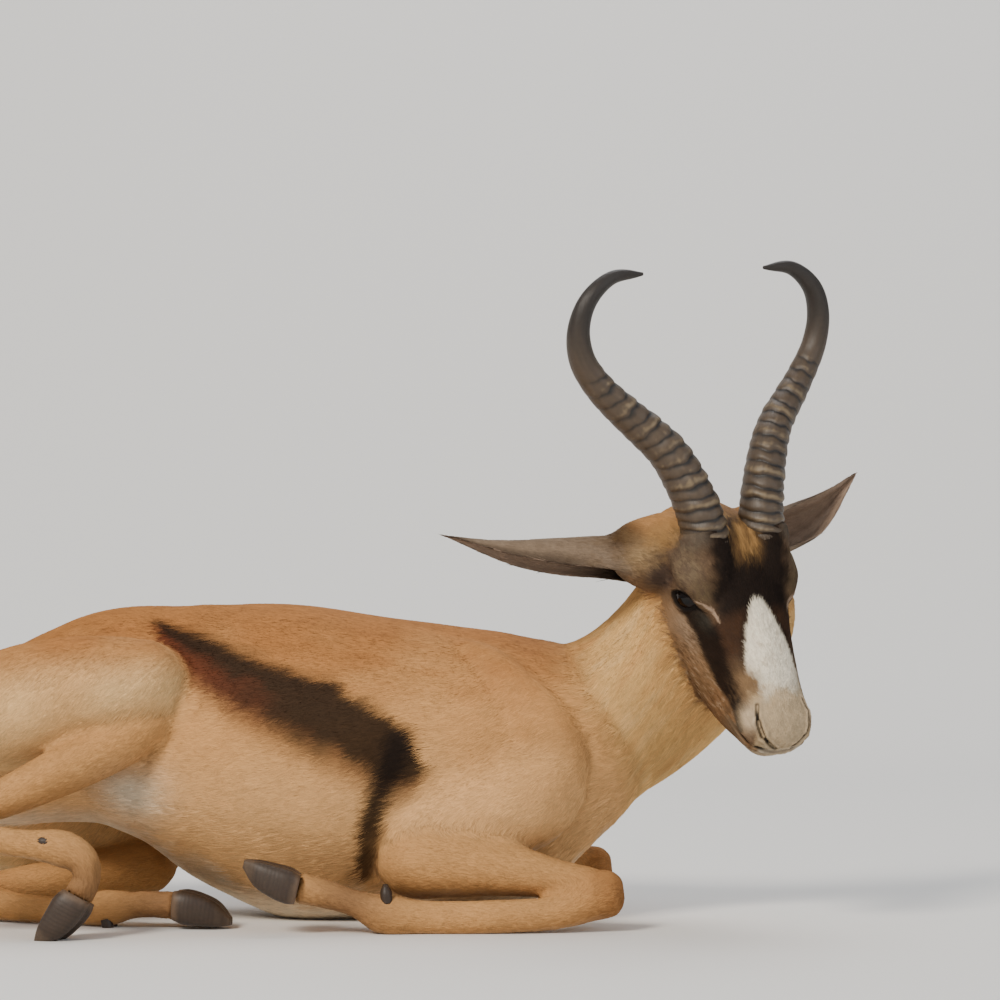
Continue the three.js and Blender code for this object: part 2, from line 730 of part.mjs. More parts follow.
add('head', headSolid(), colours.face, headGroup);
for (const [name, hand] of [['left', 1], ['right', -1]]) {
  add(`eye_${name}`, eyeball(hand), colours.eye, headGroup, 0.15);
  add(`horn_${name}`, cut(horn(hand), headWhole), colours.horn, headGroup, 0.5);
  const root = earRoot(ears[name]);
  const neckRoom = toHead(neck(gap));
  const flap = fuse([ear(ears[name]), root]);
  add(`ear_${name}`, cut(flap, headWhole, horn(hand, gap), neckRoom), colours.face, headGroup);
}

export default group;
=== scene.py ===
import math

import bmesh
import bpy
import numpy as np
from mathutils.bvhtree import BVHTree
from mathutils.kdtree import KDTree
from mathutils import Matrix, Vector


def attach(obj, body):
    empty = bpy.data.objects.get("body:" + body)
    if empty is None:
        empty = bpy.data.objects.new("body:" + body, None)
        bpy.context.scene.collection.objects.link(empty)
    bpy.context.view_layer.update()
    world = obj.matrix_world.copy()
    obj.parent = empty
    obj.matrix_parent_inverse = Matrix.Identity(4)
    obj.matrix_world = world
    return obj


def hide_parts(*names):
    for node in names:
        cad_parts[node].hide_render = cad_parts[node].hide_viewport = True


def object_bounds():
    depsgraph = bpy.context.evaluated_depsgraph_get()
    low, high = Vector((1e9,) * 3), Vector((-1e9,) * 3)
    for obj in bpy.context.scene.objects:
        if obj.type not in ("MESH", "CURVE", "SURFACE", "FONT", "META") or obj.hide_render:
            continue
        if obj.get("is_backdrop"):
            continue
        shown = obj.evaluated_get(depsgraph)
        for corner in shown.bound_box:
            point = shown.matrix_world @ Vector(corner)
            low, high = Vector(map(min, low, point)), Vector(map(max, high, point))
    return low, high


# A springbok ram lying on its chest. Tables are in millimetres, and the scene is in metres.
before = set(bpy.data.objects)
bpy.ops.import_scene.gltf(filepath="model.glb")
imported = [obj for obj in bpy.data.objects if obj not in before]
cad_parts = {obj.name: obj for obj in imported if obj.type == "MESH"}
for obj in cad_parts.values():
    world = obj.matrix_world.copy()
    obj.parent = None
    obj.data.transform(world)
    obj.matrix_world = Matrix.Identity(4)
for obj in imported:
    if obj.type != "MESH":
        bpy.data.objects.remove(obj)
cadBox = [list(corner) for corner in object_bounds()]
rng = np.random.default_rng(11)
middle = np.array([-31.5, -21.2, 0.0])  # the shift that puts the middle of the animal over the origin


def metres(points):
    return (np.asarray(points, float) - middle) / 1000


def report(words):
    print("springbok:", words)


# Camera, floor and light

view = {
    "place": (95, -2600, 270),
    "upward": 2.73,
    "lens": 98.28,
    "floorColour": (0.78, 0.765, 0.74),
    "world": (0.9, 0.94, 1.0),
    "worldStrength": 0.4,
}
lights = [
    {"name": "keyLight", "place": (-3.4, -5.1, 4.6), "size": 2.0, "power": 560, "colour": (1.0, 0.93, 0.83)},
    {"name": "fillLight", "place": (4.6, -3.9, 2.8), "size": 3.6, "power": 105, "colour": (0.9, 0.95, 1.0)},
    {"name": "rimLight", "place": (0.8, 2.6, 5.6), "size": 3.4, "power": 165, "colour": (0.95, 0.97, 1.0)},
]


def aim(thing, target):
    way = np.array(target, float) - np.array(thing.location)
    flat = math.hypot(way[0], way[1])
    thing.rotation_euler = (math.pi / 2 + math.atan2(way[2], flat), 0, math.atan2(-way[0], way[1]))


def setCamera():
    data = bpy.data.cameras.new("camera")
    data.sensor_width = 36
    data.lens = view["lens"]
    data.clip_end = 100
    camera = bpy.data.objects.new("camera", data)
    bpy.context.scene.collection.objects.link(camera)
    camera.location = metres(view["place"])
    camera.rotation_euler = (math.radians(90 + view["upward"]), 0, 0)
    bpy.context.scene.camera = camera


def setLights():
    for light in lights:
        data = bpy.data.lights.new(light["name"], "AREA")
        data.size = light["size"]
        data.energy = light["power"]
        data.color = light["colour"]
        lamp = bpy.data.objects.new(light["name"], data)
        bpy.context.scene.collection.objects.link(lamp)
        lamp.location = light["place"]
        aim(lamp, (0.05, 0, 0.2))
    world = bpy.data.worlds.new("studio")
    bpy.context.scene.world = world
    world.use_nodes = True
    background = world.node_tree.nodes["Background"]
    background.inputs["Color"].default_value = (*view["world"], 1)
    background.inputs["Strength"].default_value = view["worldStrength"]


setCamera()
setLights()


# Small tools for numbers


def unit(v):
    return v / np.maximum(np.linalg.norm(v, axis=-1, keepdims=True), 1e-9)


def dot(a, b):
    return np.sum(a * b, axis=-1, keepdims=True)


def smooth(low, high, value):
    t = np.clip((value - low) / (high - low), 0, 1)
    return t * t * (3 - 2 * t)


def turned(v, axis, degrees):
    a = np.radians(degrees)[..., None]
    return v * np.cos(a) + np.cross(axis, v) * np.sin(a) + axis * dot(axis, v) * (1 - np.cos(a))


def wobble(points, size, seed=0):  # soft random values from -1 to 1 that change over about size mm
    p = points / size + seed * 17.31
    cell = np.floor(p).astype(np.int64)
    f = p - cell
    f = f * f * (3 - 2 * f)
    total = np.zeros(len(p))
    for corner in range(8):
        step = np.array([corner & 1, corner >> 1 & 1, corner >> 2 & 1])
        c = cell + step
        h = (c[:, 0] * 73856093) ^ (c[:, 1] * 19349663) ^ (c[:, 2] * 83492791)
        h = ((h ^ (h >> 13)) * 1274126177) & 0x7FFFFFFF
        weight = np.prod(np.where(step, f, 1 - f), axis=1)
        total += weight * ((h % 100003) / 50001.5 - 1)
    return total


def lineDistance(points, line):
    line = np.asarray(line, float)
    best = np.full(len(points), 1e9)
    for a, b in zip(line[:-1], line[1:]):
        way = b - a
        t = np.clip((points - a) @ way / max(way @ way, 1e-9), 0, 1)
        best = np.minimum(best, np.linalg.norm(points - (a + t[:, None] * way), axis=1))
    return best


def readRows(rows, places, at):  # a smooth curve through rows of numbers
    rows = np.asarray(rows, float)
    t = np.asarray(places, float)
    at = np.clip(at, t[0], t[-1])
    b = np.clip(np.searchsorted(t, at, side="right"), 1, len(t) - 1)
    a = b - 1
    before = np.where(a > 0, a - 1, b)
    after = np.where(b < len(t) - 1, b + 1, a)
    half = (t[b] - t[a]) / 2
    wBefore = half / (t[a] - t[before])
    wAfter = half / (t[after] - t[b])
    p = (at - t[a]) / (t[b] - t[a])
    pp, ppp = p ** 2, p ** 3
    shares = [
        (before, -wBefore * ppp + 2 * wBefore * pp - wBefore * p),
        (a, (1 + wBefore) * ppp + (-1.5 - 2 * wBefore) * pp + (wBefore - 0.5) * p + 1),
        (b, (-1 - wAfter) * ppp + (1.5 + wAfter) * pp + 0.5 * p),
        (after, wAfter * ppp - wAfter * pp),
    ]
    return sum(rows[index] * share[:, None] for index, share in shares)


# The body's sections, rows of [x, y, z, side, up, down, roll], as in the solids

bodyRows = {
    "trunk": [
        [-478, 34, 176, 16, 16, 18, 0], [-464, 30, 172, 46, 44, 44, 12],
        [-432, 26, 166, 72, 62, 66, 20], [-380, 20, 166, 92, 80, 80, 26],
        [-320, 14, 170, 104, 106, 78, 26], [-262, 8, 172, 112, 126, 82, 24],
        [-215, 2, 162, 120, 140, 90, 20], [-165, -3, 152, 125, 148, 124, 14],
        [-100, -5, 147, 128, 150, 152, 8],
        [-20, -5, 144, 126, 142, 150, 4], [50, -2, 146, 116, 132, 150, 0], [110, 0, 150, 102, 120, 140, 0],
        [160, 0, 152, 86, 104, 118, 0], [200, 0, 146, 64, 82, 84, 0], [226, 0, 138, 38, 50, 48, 0],
        [236, 0, 134, 10, 14, 14, 0],
    ],
    "neck": [
        [118, 4, 158, 66, 84, 84], [170, 0, 184, 66, 78, 92], [215, -8, 216, 60, 66, 96],
        [252, -24, 256, 55, 60, 98], [280, -44, 302, 53, 56, 99], [292, -58, 342, 45, 48, 70],
        [296, -64, 360, 26, 30, 38],
    ],
    "shoulderRight": [
        [44, -34, 256, 12, 14], [62, -48, 236, 30, 38], [92, -64, 200, 36, 52], [122, -74, 160, 36, 56],
        [142, -76, 124, 30, 44], [150, -76, 104, 10, 16],
    ],
    "upperArmRight": [
        [168, -74, 132, 18, 22], [142, -82, 124, 34, 44], [90, -96, 106, 38, 52], [38, -99, 86, 35, 46],
        [0, -99, 74, 29, 34], [-20, -98, 70, 12, 14],
    ],
    "forearmRight": [
        [-14, -112, 64, 14, 16], [4, -112, 62, 28, 32], [48, -116, 62, 30, 35], [100, -123, 55, 23, 26],
        [146, -129, 46, 17, 19], [178, -133, 40, 17, 18],
    ],
    "foreCannonRight": [
        [206, -134, 36, 9, 12], [198, -134, 35, 18, 21], [180, -138, 31, 20, 22], [152, -146, 20, 15, 17],
        [90, -152, 14.6, 12, 16.5], [22, -154, 14.6, 12, 16.5], [-8, -155, 17.5, 16, 19],
        [-34, -156, 27, 13, 13], [-62, -157, 36, 14, 14], [-84, -158, 41, 15, 15],
    ],
    "thighRight": [
        [-456, -16, 176, 18, 20, 22], [-436, -34, 182, 46, 42, 48], [-392, -60, 192, 62, 50, 58],
        [-336, -80, 203, 66, 58, 64], [-280, -94, 212, 62, 56, 64], [-238, -104, 219, 50, 47, 53],
        [-208, -110, 221, 33, 36, 39], [-192, -112, 221, 13, 16, 17],
    ],
    "shankRight": [
        [-206, -108, 196, 14, 15], [-222, -112, 188, 24, 25], [-250, -124, 170, 25, 26],
        [-290, -138, 148, 22, 24], [-335, -150, 126, 18, 20], [-378, -162, 108, 14, 16],
        [-410, -172, 97, 13, 16],
    ],
    "hindCannonRight": [
        [-432, -172, 104, 9, 12], [-424, -173, 101, 15, 20], [-404, -176, 94, 17, 20],
        [-374, -181, 88, 12.5, 15], [-320, -188, 82, 12, 14], [-288, -192, 78, 15, 17.5],
        [-270, -195, 68, 14, 15], [-266, -197, 53, 13, 13], [-274, -199, 38, 14, 15],
    ],
    "thighLeft": [
        [-452, 44, 118, 20, 24], [-430, 54, 110, 48, 54], [-384, 72, 98, 60, 66], [-326, 88, 82, 62, 66],
        [-274, 98, 68, 52, 56], [-236, 102, 58, 36, 44], [-216, 103, 54, 13, 16],
    ],
    "shankLeft": [
        [-226, 82, 46, 14, 16], [-240, 72, 44, 26, 28], [-276, 46, 38, 25, 26], [-330, 8, 32, 20, 21],
        [-376, -24, 27, 16, 18], [-394, -37, 25, 14, 16],
    ],
    "hindCannonLeft": [
        [-416, -36, 26, 9, 12], [-408, -38, 24, 15, 19], [-390, -46, 21, 16, 19], [-358, -58, 15, 12.5, 15],
        [-296, -82, 14, 12, 14], [-262, -95, 17, 15, 17.5], [-240, -101, 20, 13, 13.5],
        [-218, -104, 21, 13, 13], [-200, -106, 20, 14, 14],
    ],
    "tail": [
        [-452, 30, 196, 16, 16], [-478, 31, 186, 14, 13], [-496, 30, 158, 10, 10], [-503, 26, 120, 8.5, 8.5],
        [-502, 18, 82, 7.5, 7.5], [-494, 6, 52, 6, 6],
    ],
}
for side in ("shoulder", "upperArm", "forearm", "foreCannon"):
    bodyRows[side + "Left"] = [[x, -y, *rest] for x, y, *rest in bodyRows[side + "Right"]]
soles = {  # the part that ends in each foot, and the way its sole faces
    "foreleg_right": ("foreCannonRight", (0.2, 0, 1)),
    "foreleg_left": ("foreCannonLeft", (0.2, 0, 1)),
    "hindleg_right": ("hindCannonRight", (-1, 0, -0.4)),
    "hindleg_left": ("hindCannonLeft", (-0.3, 0, -1)),
}
coatDepth = {"trunk": 3.5, "neck": 4.5, "thigh": 3.2, "shoulder": 8, "upperArm": 4, "other": 1.4}


def spine(rows, steps, up=(0, 0, 1), shrink=0.0):
    full = np.array([[*r[:5], r[5] if len(r) > 5 else r[4], r[6] if len(r) > 6 else 0] for r in rows], float)
    places = np.concatenate([[0], np.cumsum(np.linalg.norm(np.diff(full[:, :3], axis=0), axis=1))])
    at = np.linspace(0, places[-1], steps + 1)
    read = readRows(full, places, at)
    small = places[-1] * 0.01
    ahead = readRows(full, places, at + small)[:, :3] - readRows(full, places, at - small)[:, :3]
    forward = unit(ahead)
    top = turned(np.broadcast_to(np.array(up, float), forward.shape), forward, read[:, 6])
    top = unit(top - forward * dot(top, forward))
    sizes = np.maximum(read[:, 3:6] - shrink, 0.6)
    return {"at": at, "centre": read[:, :3], "forward": forward, "top": top, "left": np.cross(top, forward),
            "side": sizes[:, 0], "rise": sizes[:, 1], "drop": sizes[:, 2]}


def ringsOf(line, around):
    angle = 2 * np.pi * (np.arange(around) + 0.5) / around
    c, s = np.cos(angle), np.sin(angle)
    height = np.where(s[None] > 0, line["rise"][:, None], line["drop"][:, None])
    across = line["left"][:, None] * (line["side"][:, None] * c[None])[..., None]
    return line["centre"][:, None] + across + line["top"][:, None] * (height * s[None])[..., None]


def closedForm(rings):  # points and triangles of a closed form through rings
    n, a = rings.shape[:2]
    points = np.concatenate([rings.reshape(-1, 3), [rings[0].mean(0)], [rings[-1].mean(0)]])
    i = np.arange(n - 1)[:, None] * a
    j = np.arange(a)[None]
    k = (j + 1) % a
    first = np.stack([i + j, i + k, i + k + a], -1).reshape(-1, 3)
    second = np.stack([i + j, i + k + a, i + j + a], -1).reshape(-1, 3)
    j, k = j[0], k[0]
    startCap = np.stack([np.full(a, n * a), k, j], -1)
    endCap = np.stack([np.full(a, n * a + 1), (n - 1) * a + j, (n - 1) * a + k], -1)
    return points, np.concatenate([first, second, startCap, endCap])


# The head, in a frame of its own: x to its left, y out of the forehead, z down the nose

head = {
    "place": (322, -118, 316),
    "yaw": 28,
    "tilt": 7,
    "pitch": 31,
    "coat": 1.2,
    "eyePlace": (41, -34, -10),
    "eyeLook": (0.88, 0.3, 0.36),
    "eyeRadius": 16.5,
    "padOver": 1.6,
    "lidAlong": (-0.25, 0.42, 0.85),
    "lidWide": 13.2,
    "lidTall": 6.6,
}
# Sections down the head: [z, top, widest level, bottom, half width]
skullRows = [
    [-116, -40, -58, -80, 22], [-106, -21, -56, -96, 38], [-84, -3, -52, -112, 48], [-60, 13, -46, -119, 52],
    [-38, 17, -42, -122, 54], [-16, 13, -39, -124, 56], [4, 4, -37, -125, 54], [24, -4, -42, -125, 49],
    [46, -11, -50, -126, 45], [70, -18, -55, -121, 40.5], [92, -25, -58, -112, 37.5],
    [111, -31, -60, -100, 36], [126, -37, -61, -90, 34], [137, -45, -63, -81, 28], [143, -55, -64, -73, 12],
]


def turnX(degrees):
    c, s = math.cos(math.radians(degrees)), math.sin(math.radians(degrees))
    return np.array([[1, 0, 0], [0, c, -s], [0, s, c]])


def turnY(degrees):
    c, s = math.cos(math.radians(degrees)), math.sin(math.radians(degrees))
    return np.array([[c, 0, s], [0, 1, 0], [-s, 0, c]])


def turnZ(degrees):
    c, s = math.cos(math.radians(degrees)), math.sin(math.radians(degrees))
    return np.array([[c, -s, 0], [s, c, 0], [0, 0, 1]])


headTurn = turnY(-head["tilt"]) @ turnZ(head["yaw"]) @ turnX(-head["pitch"]) @ np.diag([1, -1, -1])


def fromHead(points):
    return np.asarray(points, float) @ headTurn.T + np.array(head["place"])


def toHead(points):
    return (np.asarray(points, float) - np.array(head["place"])) @ headTurn


def skullRings(around=72, steps=90, shrink=0.0):
    z0, z1 = skullRows[0][0] + shrink, skullRows[-1][0] - shrink
    at = z0 + (z1 - z0) * (0.5 - np.cos(np.pi * np.arange(steps + 1) / steps) / 2)
    z, top, level, bottom, half = readRows(skullRows, [r[0] for r in skullRows], at).T
    angle = 2 * np.pi * (np.arange(around) + 0.5) / around
    c, s = np.cos(angle)[None], np.sin(angle)[None]
    height = np.where(s > 0, (top - level)[:, None], (level - bottom)[:, None]) - shrink
    jaw = np.where(s < 0, 1 - 0.1 * s * s, 1)
    x = (half - shrink)[:, None] * np.sign(c) * np.abs(c) ** 0.86 * jaw
    y = level[:, None] + np.maximum(height, 1) * np.sign(s) * np.abs(s) ** 0.94
    return np.stack([x, y, np.broadcast_to(z[:, None], x.shape)], -1)


def sided(hand, v):
    return np.array([hand * v[0], v[1], v[2]], float)


def foldedOver(own):  # both halves of the head laid on the left one
    return np.concatenate([np.abs(own[:, :1]), own[:, 1:]], axis=1)


def eyeAxes(hand):  # the eye's own directions: along its opening, across it, and out
    look = unit(sided(hand, head["eyeLook"]))
    along = sided(hand, head["lidAlong"])
    along = unit(along - look * (along @ look))
    return along, np.cross(look, along) * -hand, look


headSwells = [  # the brow, the horn's root and the muscle of the ear, as rows of [x, y, z, side, up]
    [(36, -30, -62, 8, 8), (42, -19, -42, 16, 17), (47, -13, -15, 17, 17), (43, -18, 6, 12, 12),
     (36, -25, 22, 4, 4)],
    [(24, -34, 8, 10, 10), (28, -17, -10, 22, 23), (31, 0, -34, 25, 25), (34, 11, -52, 23.5, 23.5)],
    [(26, -4, -60, 12, 12), (40, -16, -66, 22, 24), (58, -34, -72, 25, 27), (76, -48, -78, 22, 24),
     (92, -56, -84, 12, 14)],
]


def ballRings(place, radii, axes, steps=24, around=32):
    polar = np.pi * (np.arange(steps + 1)) / steps
    angle = 2 * np.pi * np.arange(around) / around
    a, b, out = axes
    ring = np.sin(polar)[:, None, None] * (
        np.cos(angle)[None, :, None] * a * radii[0] + np.sin(angle)[None, :, None] * b * radii[1])
    return np.asarray(place) + ring - np.cos(polar)[:, None, None] * out * radii[2]


# Pieces as Blender objects


def keptCorners(faces):  # a triangle among quads repeats its last corner
    kept = np.ones(faces.shape, bool)
    if faces.shape[1] == 4:
        kept[:, 3] = faces[:, 3] != faces[:, 2]
    return kept


def newPiece(name, points, faces):
    mesh = bpy.data.meshes.new(name)
    faces = np.asarray(faces, np.int32)
    kept = keptCorners(faces)
    counts = kept.sum(axis=1)
    mesh.vertices.add(len(points))
    mesh.vertices.foreach_set("co", np.asarray(points, np.float32).ravel())
    mesh.loops.add(int(counts.sum()))
    mesh.loops.foreach_set("vertex_index", faces[kept])
    mesh.polygons.add(len(faces))
    mesh.polygons.foreach_set("loop_start", (np.cumsum(counts) - counts).astype(np.int32))
    mesh.update(calc_edges=True)
    mesh.polygons.foreach_set("use_smooth", np.ones(len(faces), bool))
    piece = bpy.data.objects.new(name, mesh)
    bpy.context.scene.collection.objects.link(piece)
    return piece


def setColours(piece, colours, name="coatColour"):
    layer = piece.data.attributes.new(name=name, type="FLOAT_COLOR", domain="POINT")
    rgba = np.concatenate([colours, np.ones((len(colours), 1))], axis=1)
    layer.data.foreach_set("color", rgba.astype(np.float32).ravel())


def pointsOf(mesh):
    co = np.empty(len(mesh.vertices) * 3, np.float32)
    mesh.vertices.foreach_get("co", co)
    return co.reshape(-1, 3).astype(float)


def joinForms(forms):
    points, faces, start = [], [], 0
    for p, f in forms:
        points.append(p)
        faces.append(f + start)
        start += len(p)
    return np.concatenate(points), np.concatenate(faces)


# One skin from all the flesh

skinMake = {
    "voxel": 0.004,
    "evenRounds": 10,
    "seamRounds": 26,
    "seamReach": 7,  # how many faces a seam's softness reaches
    "bonySeam": 0.35,  # the share of it that the lower legs get
    "fineEye": 31,  # finer faces this near the eyes, and below this level of the head
    "fineMouth": 74,
    "headRounds": 4,
    "floorGap": 0.3,
}
headBoxes = {  # half width, lowest and highest y, lowest and highest z
    "fine": (62, -128, math.inf, -130, 150),
    "even": (64, -130, 16, -122, 150),
    "carved": (70, -140, math.inf, -130, 155),
}
upOf = {"neck": (-0.72, -0.1, 0.68)}


def withinHead(own, box):
    wide, yLow, yHigh, zLow, zHigh = headBoxes[box]
    x, y, z = np.asarray(own).T
    return (np.abs(x) < wide) & (y > yLow) & (y < yHigh) & (z > zLow) & (z < zHigh)


def depthOf(name):
    for key, depth in coatDepth.items():
        if name.startswith(key):
            return depth
    return coatDepth["other"]


spines = {}
forms = []
for name, rows in bodyRows.items():
    steps = 120 if name in ("trunk", "neck") else 60
    spines[name] = spine(rows, steps, upOf.get(name, (0, 0, 1)), depthOf(name))
    forms.append((name, closedForm(ringsOf(spines[name], 72 if steps == 120 else 40))))
skullPoints, skullFaces = closedForm(skullRings(shrink=head["coat"]))
forms.append(("head", (fromHead(skullPoints), skullFaces)))
for hand in (1, -1):
    size = head["eyeRadius"] + head["padOver"]
    radii = (size + 3, size + 1, size)
    pad, padFaces = closedForm(ballRings(sided(hand, head["eyePlace"]), radii, eyeAxes(hand)))
    forms.append(("head", (fromHead(pad), padFaces)))
    for rows in headSwells:
        rows = [(hand * row[0], *row[1:]) for row in rows]
        swell, swellFaces = closedForm(ringsOf(spine(rows, 24, shrink=head["coat"]), 40))
        forms.append(("head", (fromHead(swell), swellFaces)))


# Ears: a leaf rolled into a cup, from [share of length, half width, degrees rolled, thickness]

ears = {
    "length": 216,
    "sag": 13,
    "hang": (-0.11, -0.56, 0.82),
    "left": {"from": (34, -46, -58), "to": (231, -68, -150), "cup": (0.15, 0.8, 0.4)},
    "right": {"from": (-34, -46, -58), "to": (-230, -89, -140), "cup": (-0.23, -0.35, 0.91)},
    "rows": [[0, 22, 155, 6], [0.14, 24, 150, 5], [0.29, 22.5, 132, 4], [0.45, 21.5, 120, 3.5],
             [0.58, 20, 108, 3.2], [0.7, 16.5, 98, 3], [0.8, 12.5, 88, 2.6], [0.9, 7.5, 75, 2.2],
             [0.96, 4, 65, 1.8], [1, 1.4, 50, 1.2]],
    "root": [[-18, 27], [6, 32], [30, 30], [48, 22], [62, 10]],
    "steps": 96,
    "folds": 34,
    "coat": 0.7,
}


def earForm(name):  # the shell in the head's frame, with its outer face first in each ring
    piece = ears[name]
    start = np.array(piece["from"], float)
    way = unit(np.array(piece["to"], float) - start)
    cup = np.array(piece["cup"], float)
    cup = unit(cup - way * (cup @ way))
    across = np.cross(way, cup)
    at = np.linspace(0, 1, ears["steps"] + 1)
    _, half, turn, thick = readRows(ears["rows"], [r[0] for r in ears["rows"]], at).T
    sweep = np.radians(turn)
    radius = half / np.sin(np.minimum(sweep, np.pi / 2))
    sag = ears["sag"] * np.sin(np.pi * at ** 1.7)
    hub = start + way * (ears["length"] * at)[:, None] + cup * (radius - half)[:, None]
    hub = hub + np.array(ears["hang"]) * sag[:, None]
    share = 1 - 2 * np.arange(ears["folds"] + 1) / ears["folds"]
    angle = sweep[:, None] * share
    edge = 1 - 0.55 * np.abs(share) ** 3
    rib = 0.5 * np.cos(share * np.pi * 5) * (1 - share ** 2)  # faint ribs of gristle inside the cup

    def onLeaf(reach):
        sideways = across * (reach * np.sin(angle))[..., None]
        return hub[:, None] + sideways - cup * (reach * np.cos(angle))[..., None]

    outer = onLeaf(radius[:, None] - ears["coat"])
    rib = rib * smooth(0.1, 0.3, at)[:, None]
    inner = onLeaf(radius[:, None] - thick[:, None] * edge + ears["coat"] * 0.5 - rib)
    return np.concatenate([outer, inner[:, ::-1]], axis=1), at, share


def asFour(triangles):
    return np.concatenate([triangles, triangles[:, 2:3]], axis=1)


def rootForm(name):
    piece = ears[name]
    start = np.array(piece["from"], float)
    way = unit(np.array(piece["to"], float) - start)
    rows = [[*(start + way * along), size, size] for along, size in ears["root"]]
    return closedForm(ringsOf(spine(rows, 24, (0.1, 1, 0.2), ears["coat"] + 0.6), 40))


for name in ("left", "right"):
    rootPoints, rootFaces = rootForm(name)
    forms.append(("head", (fromHead(rootPoints), rootFaces)))


def remeshed(points, faces, voxel):
    piece = newPiece("rough", points, faces)
    change = piece.modifiers.new("even", "REMESH")
    change.mode = "VOXEL"
    change.voxel_size = voxel
    ready = piece.evaluated_get(bpy.context.evaluated_depsgraph_get())
    mesh = bpy.data.meshes.new_from_object(ready)
    bpy.data.objects.remove(piece)
    return mesh


def neighbours(faces, count):
    edges = np.concatenate([faces[:, [0, 1]], faces[:, [1, 2]], faces[:, [2, 3]], faces[:, [3, 0]]])
    edges = np.unique(np.sort(edges, axis=1), axis=0)
    edges = edges[edges[:, 0] != edges[:, 1]]
    degree = np.bincount(edges.ravel(), minlength=count).astype(float)
    return edges, np.maximum(degree, 1)


def average(values, edges, degree):
    total = np.zeros_like(values)
    for k in range(values.shape[1]):
        total[:, k] += np.bincount(edges[:, 0], values[edges[:, 1], k], len(values))
        total[:, k] += np.bincount(edges[:, 1], values[edges[:, 0], k], len(values))
    return total / degree[:, None]


def relax(points, edges, degree, rounds, share):
    share = np.asarray(share)[:, None] if np.ndim(share) else share
    for _ in range(rounds):
        for step in (0.6, -0.62):
            points = points + (average(points, edges, degree) - points) * step * share
    return points


def normalsOf(points, faces):
    quad = faces.shape[1] == 4
    a = points[faces[:, 2]] - points[faces[:, 0]]
    b = points[faces[:, 3]] - points[faces[:, 1]] if quad else points[faces[:, 1]] - points[faces[:, 0]]
    n = np.cross(a, b) if quad else np.cross(b, a)
    total = np.zeros_like(points)
    for corner in range(faces.shape[1]):
        for k in range(3):
            total[:, k] += np.bincount(faces[:, corner], n[:, k], len(points))
    return unit(total)


def asQuads(mesh):  # every face as four corners, a triangle repeating its last
    faces = np.empty((len(mesh.polygons), 4), np.int64)
    starts = np.empty(len(mesh.polygons), np.int32)
    totals = np.empty(len(mesh.polygons), np.int32)
    corners = np.empty(len(mesh.loops), np.int32)
    mesh.polygons.foreach_get("loop_start", starts)
    mesh.polygons.foreach_get("loop_total", totals)
    mesh.loops.foreach_get("vertex_index", corners)
    for k in range(4):
        faces[:, k] = corners[starts + np.minimum(k, totals - 1)]
    return faces


def nearestPart(points):
    samples, labels = [], []
    names = []
    for name, (formPoints, _) in forms:
        if name not in names:
            names.append(name)
        chosen = formPoints[:-2:2]
        samples.append(chosen)
        labels.append(np.full(len(chosen), names.index(name)))
    samples, labels = np.concatenate(samples), np.concatenate(labels)
    tree = KDTree(len(samples))
    for i, p in enumerate(samples):
        tree.insert(p, i)
    tree.balance()
    found = np.array([tree.find(p)[1] for p in points])
    return names, labels[found]


def refined(mesh, chosen):  # splits the chosen faces in four
    work = bmesh.new()
    work.from_mesh(mesh)
    work.faces.ensure_lookup_table()
    edges = set()
    for index in np.nonzero(chosen)[0]:
        edges.update(work.faces[int(index)].edges)
    bmesh.ops.subdivide_edges(work, edges=list(edges), cuts=1, use_grid_fill=True)
    odd = [f for f in work.faces if len(f.verts) > 4]
    bmesh.ops.triangulate(work, faces=odd)
    work.to_mesh(mesh)
    work.free()
    return mesh


def buildSkin():
    points, faces = joinForms([form for _, form in forms])
    mesh = remeshed(metres(points), faces, skinMake["voxel"])
    points = pointsOf(mesh) * 1000 + middle
    quads = asQuads(mesh)
    edges, degree = neighbours(quads, len(points))
    names, part = nearestPart(points)
    # Where two parts meet, the skin is drawn more evenly over the seam.
    seam = np.zeros((len(points), 1))
    seam[edges[part[edges[:, 0]] != part[edges[:, 1]]].ravel()] = 1
    for _ in range(skinMake["seamReach"]):
        seam = np.maximum(seam, average(seam, edges, degree))
    bony = np.array([n.startswith(("foreCannon", "hindCannon", "shank", "forearm")) for n in names])[part]
    bodySeam = seam[:, 0] * np.where(bony, skinMake["bonySeam"], 1)
    points = relax(points, edges, degree, skinMake["evenRounds"], 1.0)
    points = relax(points, edges, degree, skinMake["seamRounds"], np.clip(bodySeam * 1.2, 0, 1))
    mesh.vertices.foreach_set("co", points.astype(np.float32).ravel())
    # Finer faces over the head, and finer again at the eyes, nose and mouth.
    isHead = part == names.index("head")
    mesh = refined(mesh, isHead[quads].any(axis=1))
    own = toHead(pointsOf(mesh))
    toEyes = [np.linalg.norm(own - sided(hand, head["eyePlace"]), axis=1) for hand in (1, -1)]
    nearEye = np.min(toEyes, axis=0) < skinMake["fineEye"]
    nearMouth = withinHead(own, "fine") & (own[:, 2] > skinMake["fineMouth"])
    quads = asQuads(mesh)
    mesh = refined(mesh, (nearEye | nearMouth)[quads].any(axis=1))
    return mesh


skinMesh = buildSkin()
skinPoints = pointsOf(skinMesh)
skinQuads = asQuads(skinMesh)
skinEdges, skinDegree = neighbours(skinQuads, len(skinPoints))
onHead = withinHead(toHead(skinPoints), "even").astype(float)
skinPoints = relax(skinPoints, skinEdges, skinDegree, skinMake["headRounds"], onHead)
report(f"skin of {len(skinPoints)} points and {len(skinQuads)} faces")


# Carving the head: swells and lines along the normal, in the head's frame

